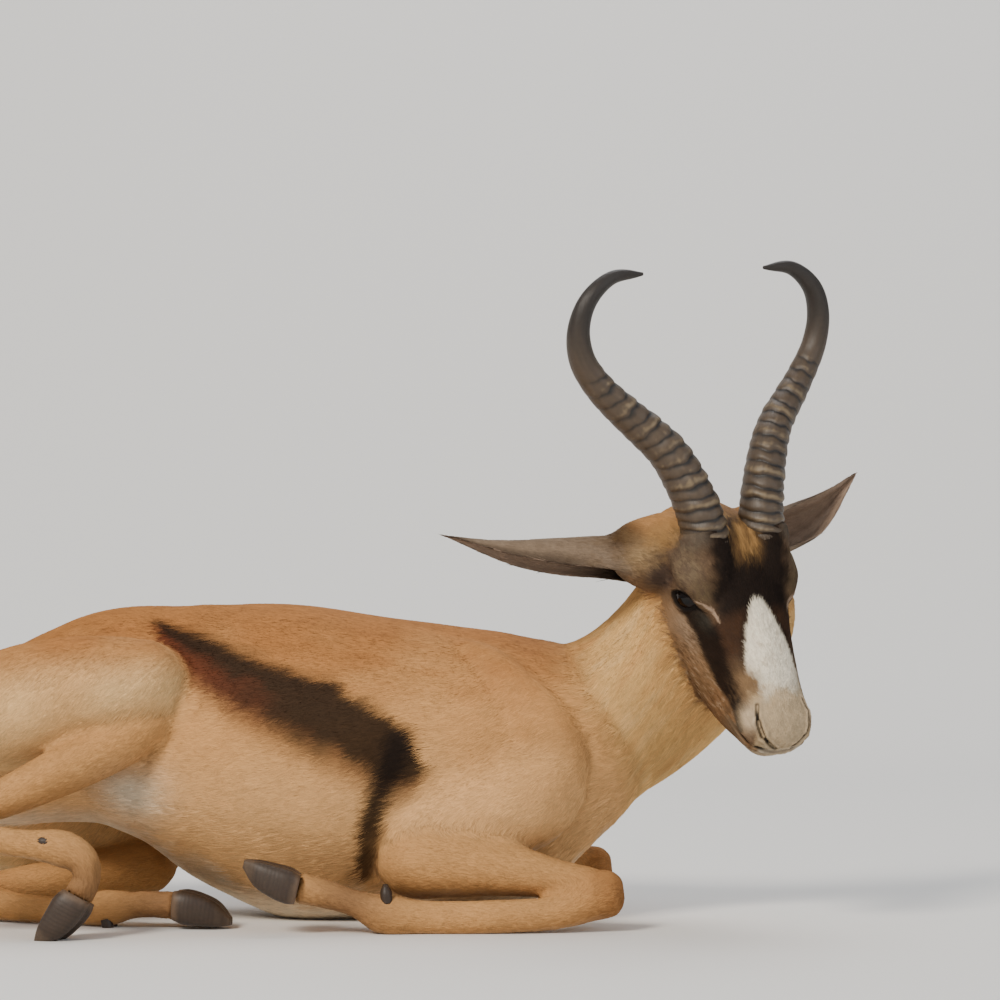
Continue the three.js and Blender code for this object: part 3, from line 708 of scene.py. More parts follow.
swells = [  # place, reach and height of each
    {"at": (36, 2, -8), "reach": (13, 10, 20), "by": 2.0},  # brow
    {"at": (47, -52, 12), "reach": (12, 10, 24), "by": 1.6},  # cheekbone under the eye
    {"at": (48, -88, -8), "reach": (16, 30, 34), "by": 3.0},  # jaw muscle
    {"at": (42, -38, 34), "reach": (9, 9, 18), "by": -2.2},  # hollow before the eye
    {"at": (0, -14, 60), "reach": (9, 14, 50), "by": 1.0},  # bridge of the nose
    {"at": (37, -86, 60), "reach": (10, 12, 26), "by": -1.8},  # hollow behind the mouth
    {"at": (27, -46, 120), "reach": (8, 9, 13), "by": 1.8},  # wing of the nostril
    {"at": (30, -60, 112), "reach": (8, 6, 22), "by": 1.2},  # upper lip
    {"at": (12, -76, 134), "reach": (12, 8, 12), "by": 2.0},  # chin
    {"at": (0, -52, 140), "reach": (10, 8, 8), "by": 1.0},  # nose pad
]
grooves = [  # line, half width, depth
    {"name": "mouth", "line": [(0, -67, 144), (9, -67, 143), (17, -64.5, 141), (25, -63, 136),
                               (31, -65, 127), (34, -68, 114), (36, -71, 100), (38, -74, 88)],
     "half": 2.0, "by": 3.2},
    {"name": "nostril", "line": [(24.5, -38, 109), (27, -41, 117), (27, -46, 127), (23, -51, 135),
                                 (16, -57, 140), (9, -62, 142.5)],
     "half": 1.6, "by": 2.6},
    {"name": "nostrilHole", "line": [(27, -44, 123), (24, -51, 133)], "half": 2.2, "by": 3.2},
    {"name": "philtrum", "line": [(0, -56, 144), (0, -66, 144.5)], "half": 0.9, "by": 1.1},
    {"name": "tearLine", "line": [(52, -22, 8), (47, -22, 16), (42, -23, 24)], "half": 2.4, "by": 1.6},
]


def carveHead(points, faces):
    own = toHead(points)
    index = np.nonzero(withinHead(own, "carved"))[0]
    normals = (normalsOf(points, faces) @ headTurn)[index]
    p = own[index]
    folded = foldedOver(p)
    push = np.zeros(len(p))
    for swell in swells:
        gap = (folded - np.array(swell["at"])) / np.array(swell["reach"])
        push += swell["by"] * np.exp(-np.sum(gap * gap, axis=1))
    for groove in grooves:
        away = lineDistance(folded, groove["line"]) / groove["half"]
        push -= groove["by"] * np.exp(-away ** 2)
        push += 0.28 * groove["by"] * np.exp(-((away - 2.1) / 0.8) ** 2)  # a soft rim on both sides
    p += normals * push[:, None]
    for hand in (1, -1):
        p = carveEye(p, hand)
    points[index] = fromHead(p)
    return points


def eyeShare(p, hand):  # 1 on the edge of the lids, less inside the opening
    along, across, look = eyeAxes(hand)
    gap = p - sided(hand, head["eyePlace"])
    a, b, out = gap @ along, gap @ across, gap @ look
    wide = np.abs(a) / head["lidWide"]
    tall = head["lidTall"] * np.clip(1 - 0.3 * wide ** 2, 0.3, 1)
    return np.sqrt(wide ** 2 + (b / tall) ** 2), a, b, out, gap


lids = {
    "reach": 27,  # how far from the middle of the eye the skin is moved
    "edge": 1.1, "thick": 2.6, "upper": 1.2,  # over the eyeball: at the edge, behind it, and more above
    "crease": 1.3, "creaseAt": 1.75, "creaseWide": 0.16,
    "opening": 3.5,  # how far inside the eyeball the skin lies in the opening
}


def carveEye(p, hand):
    share, _, b, out, gap = eyeShare(p, hand)
    away = np.linalg.norm(gap, axis=1)
    near = (away < lids["reach"]) & (out > -2)
    upper = b > 0
    crease = lids["crease"] * np.exp(-((share - lids["creaseAt"]) / lids["creaseWide"]) ** 2) * upper
    lid = lids["edge"] + (lids["thick"] + lids["upper"] * upper) * smooth(1.0, 1.45, share) - crease
    wanted = np.where(share < 1, head["eyeRadius"] - lids["opening"], head["eyeRadius"] + lid)
    blend = np.where(near, 1 - smooth(1.5, 2.1, share), 0)
    return p + (gap / np.maximum(away, 1e-6)[:, None]) * ((wanted - away) * blend)[:, None]


skinPoints = carveHead(skinPoints, skinQuads)
skinPoints[:, 2] = np.maximum(skinPoints[:, 2], skinMake["floorGap"])  # flat where it rests on the floor
report("head carved")


# Skin and ears together, with their unwrap

atOnce = 20000  # points handled in one go


def girthOf(line):
    return float(max(line["side"].max(), line["rise"].max(), line["drop"].max()))


def stripStarts():  # the size and place of each part's strip on the unwrap
    sizes = {}
    for name in partNames:
        line = spines.get(name)
        if line is None:
            sizes[name] = (259 + 2 * 70, 2 * np.pi * 60)
        else:
            girth = girthOf(line)
            sizes[name] = (line["at"][-1] + 2.4 * girth, 2 * np.pi * girth)
    for hand in ("left", "right"):
        sizes["ear_" + hand] = (ears["length"] + 20, 260)
    margin = 9
    width = 1750
    while True:
        places, x, y, row = {}, margin, margin, 0
        for name, (long, tall) in sorted(sizes.items(), key=lambda item: -item[1][1]):
            if x + long + margin > width:
                x, y, row = margin, y + row + margin, 0
            places[name] = (x, y)
            x += long + 2 * margin
            row = max(row, tall + 2 * margin)
        if y + row <= width:
            return sizes, places, 1 / width
        width *= 1.04


def alongPart(points, name):  # distance along a part and angle round it
    if name == "head":
        p = toHead(points)
        middleLine = np.interp(p[:, 2], [-116, 4, 60, 143], [-60, -60, -62, -66])
        s = p[:, 2] + 116
        x, y = p[:, 0], p[:, 1] - middleLine
        r = np.hypot(x, y)
        ends = np.where(p[:, 2] > 120, (30 - r).clip(0), 0), np.where(p[:, 2] < -80, (60 - r).clip(0), 0)
        s = s + ends[0] - ends[1] + 60
        return s, np.arctan2(y, x) * 60
    line = spines[name]
    centre = line["centre"]
    index = np.zeros(len(points), int)
    for start in range(0, len(points), atOnce):
        chunk = points[start:start + atOnce]
        index[start:start + atOnce] = np.argmin(((chunk[:, None] - centre[None]) ** 2).sum(-1), axis=1)
    gap = points - centre[index]
    s = line["at"][index] + dot(gap, line["forward"][index])[:, 0]
    a, b = dot(gap, line["left"][index])[:, 0], dot(gap, line["top"][index])[:, 0]
    r = np.hypot(a, b)
    girth = girthOf(line)
    share = s / line["at"][-1]
    s = s + np.where(share > 0.88, (girth - r).clip(0), 0) - np.where(share < 0.12, (girth - r).clip(0), 0)
    return s + girth * 1.2, np.arctan2(b, a) * girth


def unwrapSkin(points, quads, part):
    facePart = part[quads[:, 0]]
    uv = np.zeros((len(quads), 4, 2))
    for k, name in enumerate(partNames):
        chosen = np.nonzero(facePart == k)[0]
        if not len(chosen):
            continue
        corners = quads[chosen]
        used, back = np.unique(corners, return_inverse=True)
        s, a = alongPart(points[used], name)
        around = stripSizes[name][1]
        s, a = s[back].reshape(-1, 4), a[back].reshape(-1, 4)
        wraps = (a.max(axis=1) - a.min(axis=1)) > around / 2
        a = np.where(wraps[:, None] & (a < 0), a + around, a) + around / 2
        x, y = stripPlaces[name]
        uv[chosen, :, 0] = (x + s) * stripScale
        uv[chosen, :, 1] = (y + a) * stripScale
    return np.clip(uv, 0.001, 0.999)


partNames, part = nearestPart(skinPoints)
stripSizes, stripPlaces, stripScale = stripStarts()
bodyUV = unwrapSkin(skinPoints, skinQuads, part)
skinNormals = normalsOf(skinPoints, skinQuads)
report("body unwrapped")


# How far each point belongs to a part, softly over the seams


def softShare(words, rounds):
    share = np.array([n.startswith(words) for n in partNames])[part].astype(float)[:, None]
    for _ in range(rounds):
        share = average(share, skinEdges, skinDegree)
    return share[:, 0]


shares = np.stack([
    softShare("head", 9),
    softShare("neck", 40),
    softShare("thigh", 16),
    softShare(("fore", "hind", "shank"), 14),
    softShare(("shoulder", "upperArm"), 22),
], axis=1)


# Which way the hair lies

def lieOfPart(name, points):
    n = len(points)
    down = np.array([0, 0, -1.0])
    if name == "head":
        p = toHead(points)
        outward = 0.25 * np.sign(p[:, 0]) * smooth(0, 40, np.abs(p[:, 0]))
        inward = -0.25 - 1.3 * smooth(-40, -90, p[:, 2])
        return np.stack([outward, inward, -np.ones(n)], axis=1) @ headTurn.T
    line = spines[name]
    index = np.argmin(((points[:, None, :] - line["centre"][None, ::4]) ** 2).sum(-1), axis=1) * 4
    forward = line["forward"][np.minimum(index, len(line["forward"]) - 1)]
    if name == "trunk":
        return -forward + down * 0.3
    if name == "neck":
        return -forward + down * 0.25
    if name.startswith(("shoulder", "upperArm")):
        return np.tile([-0.85, 0, -0.5], (n, 1))
    if name.startswith("thigh"):
        return np.tile([-0.7, 0, -0.7], (n, 1))
    return forward


lie = np.zeros_like(skinPoints)
for k, name in enumerate(partNames):
    chosen = np.nonzero(part == k)[0]
    for start in range(0, len(chosen), atOnce):
        some = chosen[start:start + atOnce]
        lie[some] = unit(lieOfPart(name, skinPoints[some]))
for _ in range(14):
    lie = unit(average(lie, skinEdges, skinDegree))
lie = unit(lie - skinNormals * dot(lie, skinNormals))


# Markings, as soft shapes laid over one another


def tone(code):
    c = np.array([(code >> shift & 255) / 255 for shift in (16, 8, 0)])
    return np.where(c <= 0.04045, c / 12.92, ((c + 0.055) / 1.055) ** 2.4)


def evenTone(code, points):
    return np.tile(tone(code), (len(points), 1))


def lay(base, colour, share):  # colour is a tone's code, or a row for each point
    colour = tone(colour) if np.ndim(colour) == 0 else colour
    return base + (colour - base) * np.clip(share, 0, 1)[:, None]


markings = {
    "tan": 0xCB965E, "back": 0x9C6535, "pale": 0xDDAC74, "cream": 0xE4BF87, "white": 0xEADCC2,
    "band": 0x1A100A, "rust": 0x5A2816, "withers": 0x855630, "neck": 0xE2B675, "leg": 0xB58450,
    "knee": 0x8A5A31, "foot": 0x73543A,
    "bandRight": [(-222, 276, 3), (-208, 268, 10), (-195, 257, 18), (-177, 248, 24), (-132, 222, 31),
                  (-86, 204, 35), (-41, 186, 38), (4, 160, 36), (22, 150, 22), (34, 145, 6)],
    "bandLeft": [(-236, 112, 4), (-214, 116, 12), (-177, 128, 22), (-132, 140, 28), (-86, 150, 32),
                 (-41, 156, 34), (4, 154, 34), (22, 150, 22), (34, 145, 6)],
    "hairAndShadeBehindElbow": [(14, 172), (4, 150), (-8, 118), (-17, 88), (-27, 48)],
    "neckAxis": (0.55, -0.25, 0.8),
    "spineLine": [(-470, 34), (-420, 44), (-350, 44), (-280, 34), (-205, 22)],
    "darker": [  # tone, place, reach and strength
        ("knee", (198, -134, 34), 34, 0.9), ("knee", (198, 134, 34), 34, 0.9),
        ("knee", (-415, -174, 98), 30, 0.9), ("knee", (-402, -40, 24), 30, 0.9),
        ("foot", (-40, -156, 28), 40, 0.85), ("foot", (-40, 156, 28), 40, 0.85),
        ("foot", (-268, -197, 45), 36, 0.85), ("foot", (-212, -105, 20), 40, 0.85),
    ],
}
face = {
    "brown": 0x5E4835, "brow": 0x6F5E49, "browLow": 0x574935, "temple": 0x47382F, "templeTop": 0x544B41,
    "forehead": 0x19110D, "crown": 0xA57E4C, "crownDark": 0x412E20, "blaze": 0xF0E4CD, "nose": 0xAE9674,
    "stripe": 0x1D130D, "gland": 0x2D2A24, "beside": 0x3D291B, "besideLow": 0x604C38, "tan": 0x7C6246,
    "cheek": 0x88694A, "cheekPale": 0x957C63, "cheekRed": 0x7C593A, "cheekDark": 0x4C3725, "chin": 0x6E5A44,
    "lip": 0xC4AE90, "corner": 0x46301F, "dark": 0x0E0907, "rim": 0xAA9079, "nape": 0xA97B4C,
    "earGold": 0x8D6B42, "earBrown": 0x46321F, "earPale": 0xA08560,
    "blazeHalf": [(16, 0), (19.5, 3.5), (24, 6.5), (31, 10.5), (40, 14.5), (54, 19.5), (66, 23.5),
                  (78, 25.5), (92, 26), (104, 26), (118, 26), (136, 24), (146, 20)],
    "stripeLine": [(53, -30, 2), (50, -30, 10), (46, -32, 22), (43, -36, 33), (41, -40, 47), (40, -44, 59),
                   (38, -48, 73), (36, -49, 89), (35, -52, 106), (36, -60, 118)],
    "stripeHalf": [(-6, 8), (6, 10.5), (14, 11.5), (47, 12.4), (73, 11), (90, 9), (106, 7.5), (118, 4)],
    "paleLine": [(54, -15, 8), (50, -14, 11), (46, -15, 15), (41, -16, 18), (38, -18, 24), (37, -20, 30)],
    "paleHalf": [(4, 0.4), (8, 0.7), (14, 1.1), (19, 1.4), (25, 1.1), (31, 0.5)],
}
# low is painted shade on the ear's underside; deep and dark are painted shade inside the cup, darkest near
# its base
earTones = {"outer": 0x7C6A58, "low": 0x51463A, "edge": 0x3E3127, "inner": 0x97806D, "deep": 0x715B4A,
            "dark": 0x241A13, "tip": 0x33271F}


def table(rows, at, column=1):
    rows = np.asarray(rows, float)
    return np.interp(at, rows[:, 0], rows[:, column])


def paintBody(p, n, shares):
    x, y, z = p.T
    neck, thigh, leg, shoulder = shares[:, 1:].T
    m = markings
    broad, small, streak = wobble(p, 46, 1), wobble(p, 12, 2), wobble(p * [0.3, 1, 1], 5, 3)
    right = smooth(20, -14, y - 8)
    height = (z - 146) / 145
    colour = evenTone(m["tan"], p)
    tuftTone = wobble(p * [0.35, 1, 1], 8, 23)
    colour = lay(colour, m["back"], smooth(0.3, 0.9, height + 0.16 * broad + 0.05 * tuftTone) * 0.85)
    colour = lay(colour, m["pale"], smooth(0.3, -0.35, height + 0.12 * broad) * 0.9)
    flecked = smooth(0.2, 0.9, tuftTone + 0.4 * small) * smooth(0.1, 0.8, height)
    colour = lay(colour, m["withers"], flecked * 0.25)
    under = smooth(-0.62, -0.95, n[:, 2] + 0.08 * small) * smooth(-0.1, -0.5, height)
    colour = lay(colour, m["white"], under * 0.8)
    neckShare = neck * smooth(150, 215, x + 0.4 * (z - 200))
    colour = lay(colour, m["neck"], neckShare * 0.9)
    axis = unit(np.array(m["neckAxis"], float))
    strands = wobble(p - (p @ axis)[:, None] * axis * 0.85, 4.5, 17)
    colour = lay(colour, m["cream"], neckShare * smooth(0.1, 0.8, strands) * 0.55)
    colour = lay(colour, m["tan"], neckShare * smooth(-0.1, -0.8, strands) * 0.6)
    colour = lay(colour, m["back"], neckShare * smooth(0.35, 0.95, n[:, 2] + 0.2 * broad) * 0.45)
    colour = lay(colour, m["withers"], np.exp(-((x - 150) / 42) ** 2 - ((z - 258) / 34) ** 2) * 0.45)
    blade = np.exp(-((x - 70) / 40) ** 2 - ((z - 178) / 26) ** 2)
    colour = lay(colour, m["withers"], shoulder * blade * 0.3)
    colour = lay(colour, m["cream"], thigh * (0.62 + 0.2 * broad) * smooth(1.0, 0.0, n[:, 2]))
    # The dark band along the flank, soft at its lower edge, and the dark line behind the elbow, partly dark
    # hair and partly painted shade in the crease behind the upper arm
    body = (1 - smooth(0.25, 0.75, thigh)) * (1 - smooth(0.2, 0.6, leg))
    for side, share in (("bandRight", right), ("bandLeft", 1 - right)):
        centre, half = table(m[side], x), table(m[side], x, 2)
        ends = smooth(m[side][0][0] - 8, m[side][0][0] + 14, x) * smooth(48, 26, x)
        away = (z - centre) / np.maximum(half, 1) + 0.1 * small + 0.1 * streak
        softness = np.where(away > 0, smooth(1.22, 0.6, away), smooth(-1.75, -0.35, away))
        band = softness * ends * share * body
        dark = np.maximum(smooth(-190, -75, x + 14 * small) * smooth(-1.6, -0.3, away + 0.2 * small),
                          smooth(-0.35, 0.4, away + 0.2 * small))
        reddish = lay(evenTone(m["rust"], p), m["band"], dark)
        colour = lay(colour, reddish, band * 0.95)
    flat = np.stack([x, np.zeros_like(x), z], axis=1)
    # dark hair and painted shade in the crease behind the upper arm
    elbow = lineDistance(flat, [(a, 0, b) for a, b in m["hairAndShadeBehindElbow"]]) / np.interp(z, [40, 165], [6, 14])
    front = smooth(50, 75, np.abs(y + 6)) * (1 - smooth(0.2, 0.6, leg))
    colour = lay(colour, m["band"], front * smooth(1.6, 0.3, elbow + 0.18 * small) * 0.95)
    # Groin, rump and back line
    groin = np.exp(-((x + 236) / 30) ** 2 - ((z - 122) / 26) ** 2) * (1 - 0.8 * thigh) * right
    colour = lay(colour, m["white"], groin * 0.85)
    rump = np.linalg.norm((p - [-478, 34, 190]) / [1, 1, 1.15], axis=1) + 5 * small + 3 * streak
    colour = lay(colour, m["band"], smooth(86, 70, rump) * 0.75)
    colour = lay(colour, m["white"], smooth(72, 60, rump))
    back = np.abs(y - table(m["spineLine"], x)) + 2.5 * small + 1.5 * streak
    fold = smooth(-205, -230, x) * smooth(0, 0.3, n[:, 2]) * smooth(185, 200, z) * (x > -474)
    taper = np.interp(x, [-460, -400, -230], [15, 8, 3])
    colour = lay(colour, m["withers"], fold * smooth(taper + 16, taper + 2, back) * 0.55)
    colour = lay(colour, m["white"], fold * smooth(taper + 4, taper - 2, back) * 0.9)
    colour = lay(colour, m["band"], smooth(-488, -494, x) * smooth(122, 96, z + 6 * small) * 0.9)
    # Legs: darker knees and feet
    colour = lay(colour, m["leg"], leg * 0.8)
    for shade, place, reach, most in m["darker"]:
        colour = lay(colour, m[shade], np.exp(-(np.linalg.norm(p - place, axis=1) / reach) ** 2) * most)
    value = 1 + 0.07 * broad + 0.05 * small + 0.05 * streak
    return np.clip(colour * value[:, None], 0, 1)


def spot(p, place, reach):  # 1 at a place and less around it
    gap = (p - np.array(place, float)) / np.array(reach, float)
    return np.exp(-np.sum(gap * gap, axis=1))


def earRootTones(colour, folded, share):  # golden, brown and pale patches where the ear leaves the head
    f, small, fine = face, wobble(folded, 8, 21), wobble(folded, 3, 22)
    outward = smooth(62, 86, folded[:, 0] + 4 * small)
    patches = lay(colour, earTones["outer"], outward)
    patches = lay(patches, f["earGold"], spot(folded, (60, -8, -66), (22, 26, 22)) * 1.4 + 0.2 * fine)
    patches = lay(patches, f["earBrown"], spot(folded, (80, -32, -81), (17, 24, 18)) * 1.3 + 0.3 * small)
    patches = lay(patches, f["earPale"], spot(folded, (71, -34, -54), (17, 15, 15)) * 1.1 + 0.2 * small)
    patches = lay(patches, f["earBrown"], smooth(0.2, 0.9, fine + 0.5 * small) * 0.5)
    return lay(colour, patches, share)


def paintHead(p):
    q = toHead(p)
    side, y, z = np.abs(q[:, 0]), q[:, 1], q[:, 2]
    folded = foldedOver(q)
    small, fine, broad = wobble(q, 7, 4), wobble(q, 3.2, 5), wobble(q, 24, 6)
    streak, fleck = wobble(q * [1, 1, 0.25], 2.6, 14), wobble(q * [1, 1, 0.5], 1.9, 15)
    f = face
    colour = evenTone(f["brown"], p)
    # Cheek and jaw, mottled
    under = smooth(-36, -52, y + 0.22 * (z - 30) + 4 * small) * smooth(-80, -40, z)
    cheek = evenTone(f["cheek"], p)
    cheek = lay(cheek, f["cheekPale"], spot(folded, (51, -50, 16), (30, 18, 24)) * 1.1 + 0.25 * small)
    cheek = lay(cheek, f["cheekRed"], smooth(56, 84, z + 6 * small) * 0.7)
    cheek = lay(cheek, f["cheekDark"], smooth(-82, -108, y + 5 * small) * smooth(90, 60, z) * 0.6)
    cheek = lay(cheek, f["cheekDark"], smooth(-0.05, 0.7, fleck + 0.4 * small) * smooth(-10, 25, z) * 0.75)
    cheek = lay(cheek, f["lip"], smooth(-0.25, -0.9, fleck + 0.3 * small) * smooth(0, 30, z) * 0.4)
    colour = lay(colour, cheek, under)
    # Brow, temple and forehead
    topSide = smooth(30, 42, side) * smooth(-18, -34, z) * smooth(-26, 4, y)
    colour = lay(colour, f["templeTop"], topSide * 0.9)
    colour = lay(colour, f["temple"], spot(folded, (58, -38, -40), (22, 22, 22)) * 1.2)
    colour = lay(colour, f["brow"], spot(folded, (57, -4, -19), (15, 17, 20)) * 1.35 + 0.12 * streak)
    colour = lay(colour, f["browLow"], spot(folded, (50, -7, 6), (12, 12, 13)) * 0.9)
    mottle = smooth(0.0, 0.7, fleck + 0.5 * small) * smooth(36, 46, side)
    mottle = mottle * smooth(16, 4, z) * smooth(-64, -48, z)
    colour = lay(colour, f["temple"], mottle * smooth(-40, -24, y) * 0.6)
    brow = smooth(45, 32, side + 4 * small) * smooth(-60, -36, z) * smooth(64, 30, z) * smooth(-40, -12, y)
    colour = lay(colour, f["forehead"], brow * 0.96)
    tuftShare = smooth(21, 9, side + 4 * small) * smooth(-4, -24, z + 6 * streak) * smooth(-30, 0, y)
    golden = lay(evenTone(f["crownDark"], p), f["crown"], 0.55 + 0.6 * streak + 0.25 * small)
    colour = lay(colour, golden, tuftShare)
    colour = earRootTones(colour, folded, smooth(-40, -58, z + 5 * small) * smooth(34, 50, side + 0.2 * y))
    nape = smooth(-58, -84, z + 5 * small) * smooth(86, 60, side)
    nape = nape + smooth(-70, -100, y) * smooth(-40, -80, z)
    colour = lay(colour, f["nape"], nape)
    # Between blaze and stripe, then the stripe from the eye to the mouth, and the blaze
    beside = smooth(50, 38, side) * smooth(22, 36, z) * smooth(-62, -40, y - 0.1 * z)
    colour = lay(colour, f["beside"], beside)
    colour = lay(colour, f["besideLow"], beside * smooth(50, 92, z + 6 * small))
    stripe = lineDistance(folded, f["stripeLine"]) / table(f["stripeHalf"], z)
    stripeTone = lay(evenTone(f["stripe"], p), f["gland"], spot(folded, (45, -28, 22), (8, 8, 14)))
    colour = lay(colour, stripeTone, smooth(1.3, 0.7, stripe + 0.16 * small) * smooth(-12, 2, z) * 0.95)
    half = table(f["blazeHalf"], z)
    ragged = 1.2 * fine + 1.4 * streak
    edge = smooth(half + 9, half + 2, side) * smooth(18, 28, z) * smooth(96, 70, z) * smooth(-66, -40, y)
    colour = lay(colour, f["forehead"], edge * 0.5)
    blaze = smooth(half + 2.2, half - 1.4, side + ragged) * smooth(17, 21, z + ragged) * smooth(-80, -56, y)
    colour = lay(colour, f["blaze"], blaze)
    flecks = smooth(0.15, 0.85, fleck + 0.4 * small + 0.3 * streak)
    colour = lay(colour, f["tan"], blaze * flecks * smooth(20, 50, z) * 0.42)
    tanShare = spot(folded, (25, -34, 92), (9, 12, 17)) * np.where(q[:, 0] < 0, 1.3, 0.5)
    tanShare = tanShare + 0.3 * fleck * smooth(70, 90, z)
    colour = lay(colour, f["tan"], tanShare * smooth(62, 76, z) * smooth(122, 108, z) * smooth(8, 20, side))
    # Nose, lips and chin
    nose = smooth(88, 114, z + 6 * small + 3 * fine) * smooth(31, 27, side) * smooth(-70, -60, y)
    colour = lay(colour, f["nose"], nose * 0.9)
    colour = lay(colour, f["lip"], spot(folded, (32, -47, 116), (7, 11, 11)) * 1.3)
    colour = lay(colour, f["corner"], spot(folded, (35, -72, 110), (6, 5, 13)) * 1.1)
    # painted shade: the underside of the muzzle darker, with the lower lip left pale
    under = smooth(-66, -72, y) * smooth(84, 104, z)
    colour = lay(colour, f["chin"], under * 0.8)
    colour = lay(colour, f["lip"], under * spot(folded, (8, -74, 140), (26, 7, 20)))
    pale = lineDistance(folded, f["paleLine"]) / table(f["paleHalf"], z)
    colour = lay(colour, f["rim"], smooth(1.5, 0.6, pale) * 0.85)
    # painted shade: the carved grooves of mouth, nostrils and philtrum near black
    for groove in grooves[:4]:
        away = lineDistance(folded, groove["line"]) / groove["half"]
        colour = lay(colour, f["dark"], smooth(1.6, 0.7, away) * 0.97)
    # dark lid rims, widened by painted shade around the deep-set eyes
    for hand in (1, -1):
        share, _, b = eyeShare(q, hand)[:3]
        near = np.linalg.norm(q - sided(hand, head["eyePlace"]), axis=1) < 30
        colour = lay(colour, f["dark"], np.where(near, smooth(1.8, 1.2, share + 0.1 * (b > 0)), 0) * 0.97)
    value = 1 + 0.08 * small + 0.09 * fine + 0.07 * broad + 0.1 * streak + 0.08 * fleck
    return np.clip(colour * value[:, None], 0, 1)


def paint(p, n, shares):
    colour = paintBody(p, n, shares)
    onHead = shares[:, 0] > 0.02
    own = paintHead(p[onHead])
    colour[onHead] = lay(colour[onHead], own, smooth(0.15, 0.85, shares[onHead, 0]))
    return colour


def paintEar(p, n, at, across, inner):  # across runs from -1 to 1 over the leaf
    small, fine = wobble(p, 9, 7), wobble(p, 3, 8)
    streak = wobble(p * [0.3, 1, 1], 3, 16)
    folded = foldedOver(toHead(p))
    colour = evenTone(earTones["outer"], p)
    # painted shade: the ear's downward-facing side darker
    colour = lay(colour, earTones["low"], smooth(0.1, -0.75, n[:, 2] + 0.1 * small) * 0.8)
    colour = lay(colour, earTones["edge"], smooth(0.7, 0.95, np.abs(across) + 0.06 * small) * 0.7)
    colour = lay(colour, earTones["tip"], smooth(0.84, 0.98, at) * 0.8)
    colour = earRootTones(colour, folded, smooth(0.55, 0.3, at + 0.05 * small + 0.04 * streak))
    # painted shade inside the cup: darker along its deepest middle, and a painted shadow near black towards
    # its base
    inside = lay(evenTone(earTones["inner"], p), earTones["deep"],
                 smooth(0.75, 0.2, np.abs(across) + 0.12 * small) * 0.85)
    inside = lay(inside, earTones["dark"], smooth(0.45, 0.22, at + 0.04 * small))
    colour = np.where(inner[:, None], inside, colour)
    return np.clip(colour * (1 + 0.08 * small + 0.07 * fine + 0.06 * streak)[:, None], 0, 1)


skinColours = paint(skinPoints, skinNormals, shares)
report("markings laid")


# The ears' shells join the skin

earParts = {}
allPoints, allQuads, allUV, allColours = [skinPoints], [skinQuads], [bodyUV], [skinColours]
count = len(skinPoints)
for hand in ("left", "right"):
    rings, at, share = earForm(hand)
    points, faces = closedForm(rings)
    points = fromHead(points)
    n, a = rings.shape[:2]
    i = np.arange(n - 1)[:, None] * a
    j = np.arange(a)[None]
    quads = np.stack([i + j, i + (j + 1) % a, i + (j + 1) % a + a, i + j + a], -1).reshape(-1, 4)
    caps = asFour(faces[-2 * a:])
    folds = len(share)
    acrossRow = np.concatenate([share, share[::-1]])
    innerRow = np.arange(a) >= folds
    atAll = np.concatenate([np.repeat(at, a), [0, 1]])
    acrossAll = np.concatenate([np.tile(acrossRow, n), [0, 0]])
    innerAll = np.concatenate([np.tile(innerRow, n), [False, False]])
    x, y = stripPlaces["ear_" + hand]
    ringPlace = np.concatenate([[0], np.cumsum(np.linalg.norm(np.diff(rings[n // 4], axis=0), axis=1))])
    u = (x + 10 + atAll * ears["length"]) * stripScale
    v = (y + np.concatenate([np.tile(ringPlace, n), [ringPlace[-1] / 2] * 2])) * stripScale
    both = np.concatenate([quads, caps])
    uv = np.stack([u[both], v[both]], -1)
    first = both % a == 0
    wraps = first & (first[:, 1:2] | first[:, 2:3]) & (both[:, :1] % a == a - 1)
    uv[..., 1] = np.where(wraps & (both < n * a), (y + ringPlace[-1] + 3) * stripScale, uv[..., 1])
    normals = normalsOf(points, both)
    colours = paintEar(points, normals, atAll, acrossAll, innerAll)
    earParts[hand] = {"points": points, "normals": normals, "at": atAll, "across": acrossAll,
                      "inner": innerAll}
    allPoints.append(points)
    allQuads.append(both + count)
    allUV.append(uv)
    allColours.append(colours)
    count += len(points)
wholePoints, wholeQuads = np.concatenate(allPoints), np.concatenate(allQuads)
wholeUV, wholeColours = np.concatenate(allUV), np.concatenate(allColours)


# Finishes


def finish(name, **values):
    material = bpy.data.materials.new(name)
    material.use_nodes = True
    shader = material.node_tree.nodes["Principled BSDF"]
    for socket, value in values.items():
        shader.inputs[socket.replace("_", " ")].default_value = value
    return material, material.node_tree, shader


def link(tree, a, b):
    tree.links.new(a, b)


def node(tree, kind, **values):
    made = tree.nodes.new(kind)
    for name, value in values.items():
        if name in made.inputs:
            made.inputs[name].default_value = value
        else:
            setattr(made, name, value)
    return made


def grain(tree, place, scale, detail):
    noise = node(tree, "ShaderNodeTexNoise", Scale=scale, Detail=detail)
    link(tree, place, noise.inputs["Vector"])
    return noise.outputs["Fac"]


def inObject(tree):
    return node(tree, "ShaderNodeTexCoord").outputs["Object"]


def alongStrips(tree, scale):  # the unwrap, stretched so that grain runs along each part
    uv = node(tree, "ShaderNodeUVMap", uv_map="OFBake")
    stretch = node(tree, "ShaderNodeMapping")
    stretch.inputs["Scale"].default_value = scale
    link(tree, uv.outputs["UV"], stretch.inputs["Vector"])
    return stretch.outputs["Vector"]


def addBump(tree, shader, height, strength, distance):
    bump = node(tree, "ShaderNodeBump", Strength=strength, Distance=distance)
    link(tree, height, bump.inputs["Height"])
    link(tree, bump.outputs["Normal"], shader.inputs["Normal"])


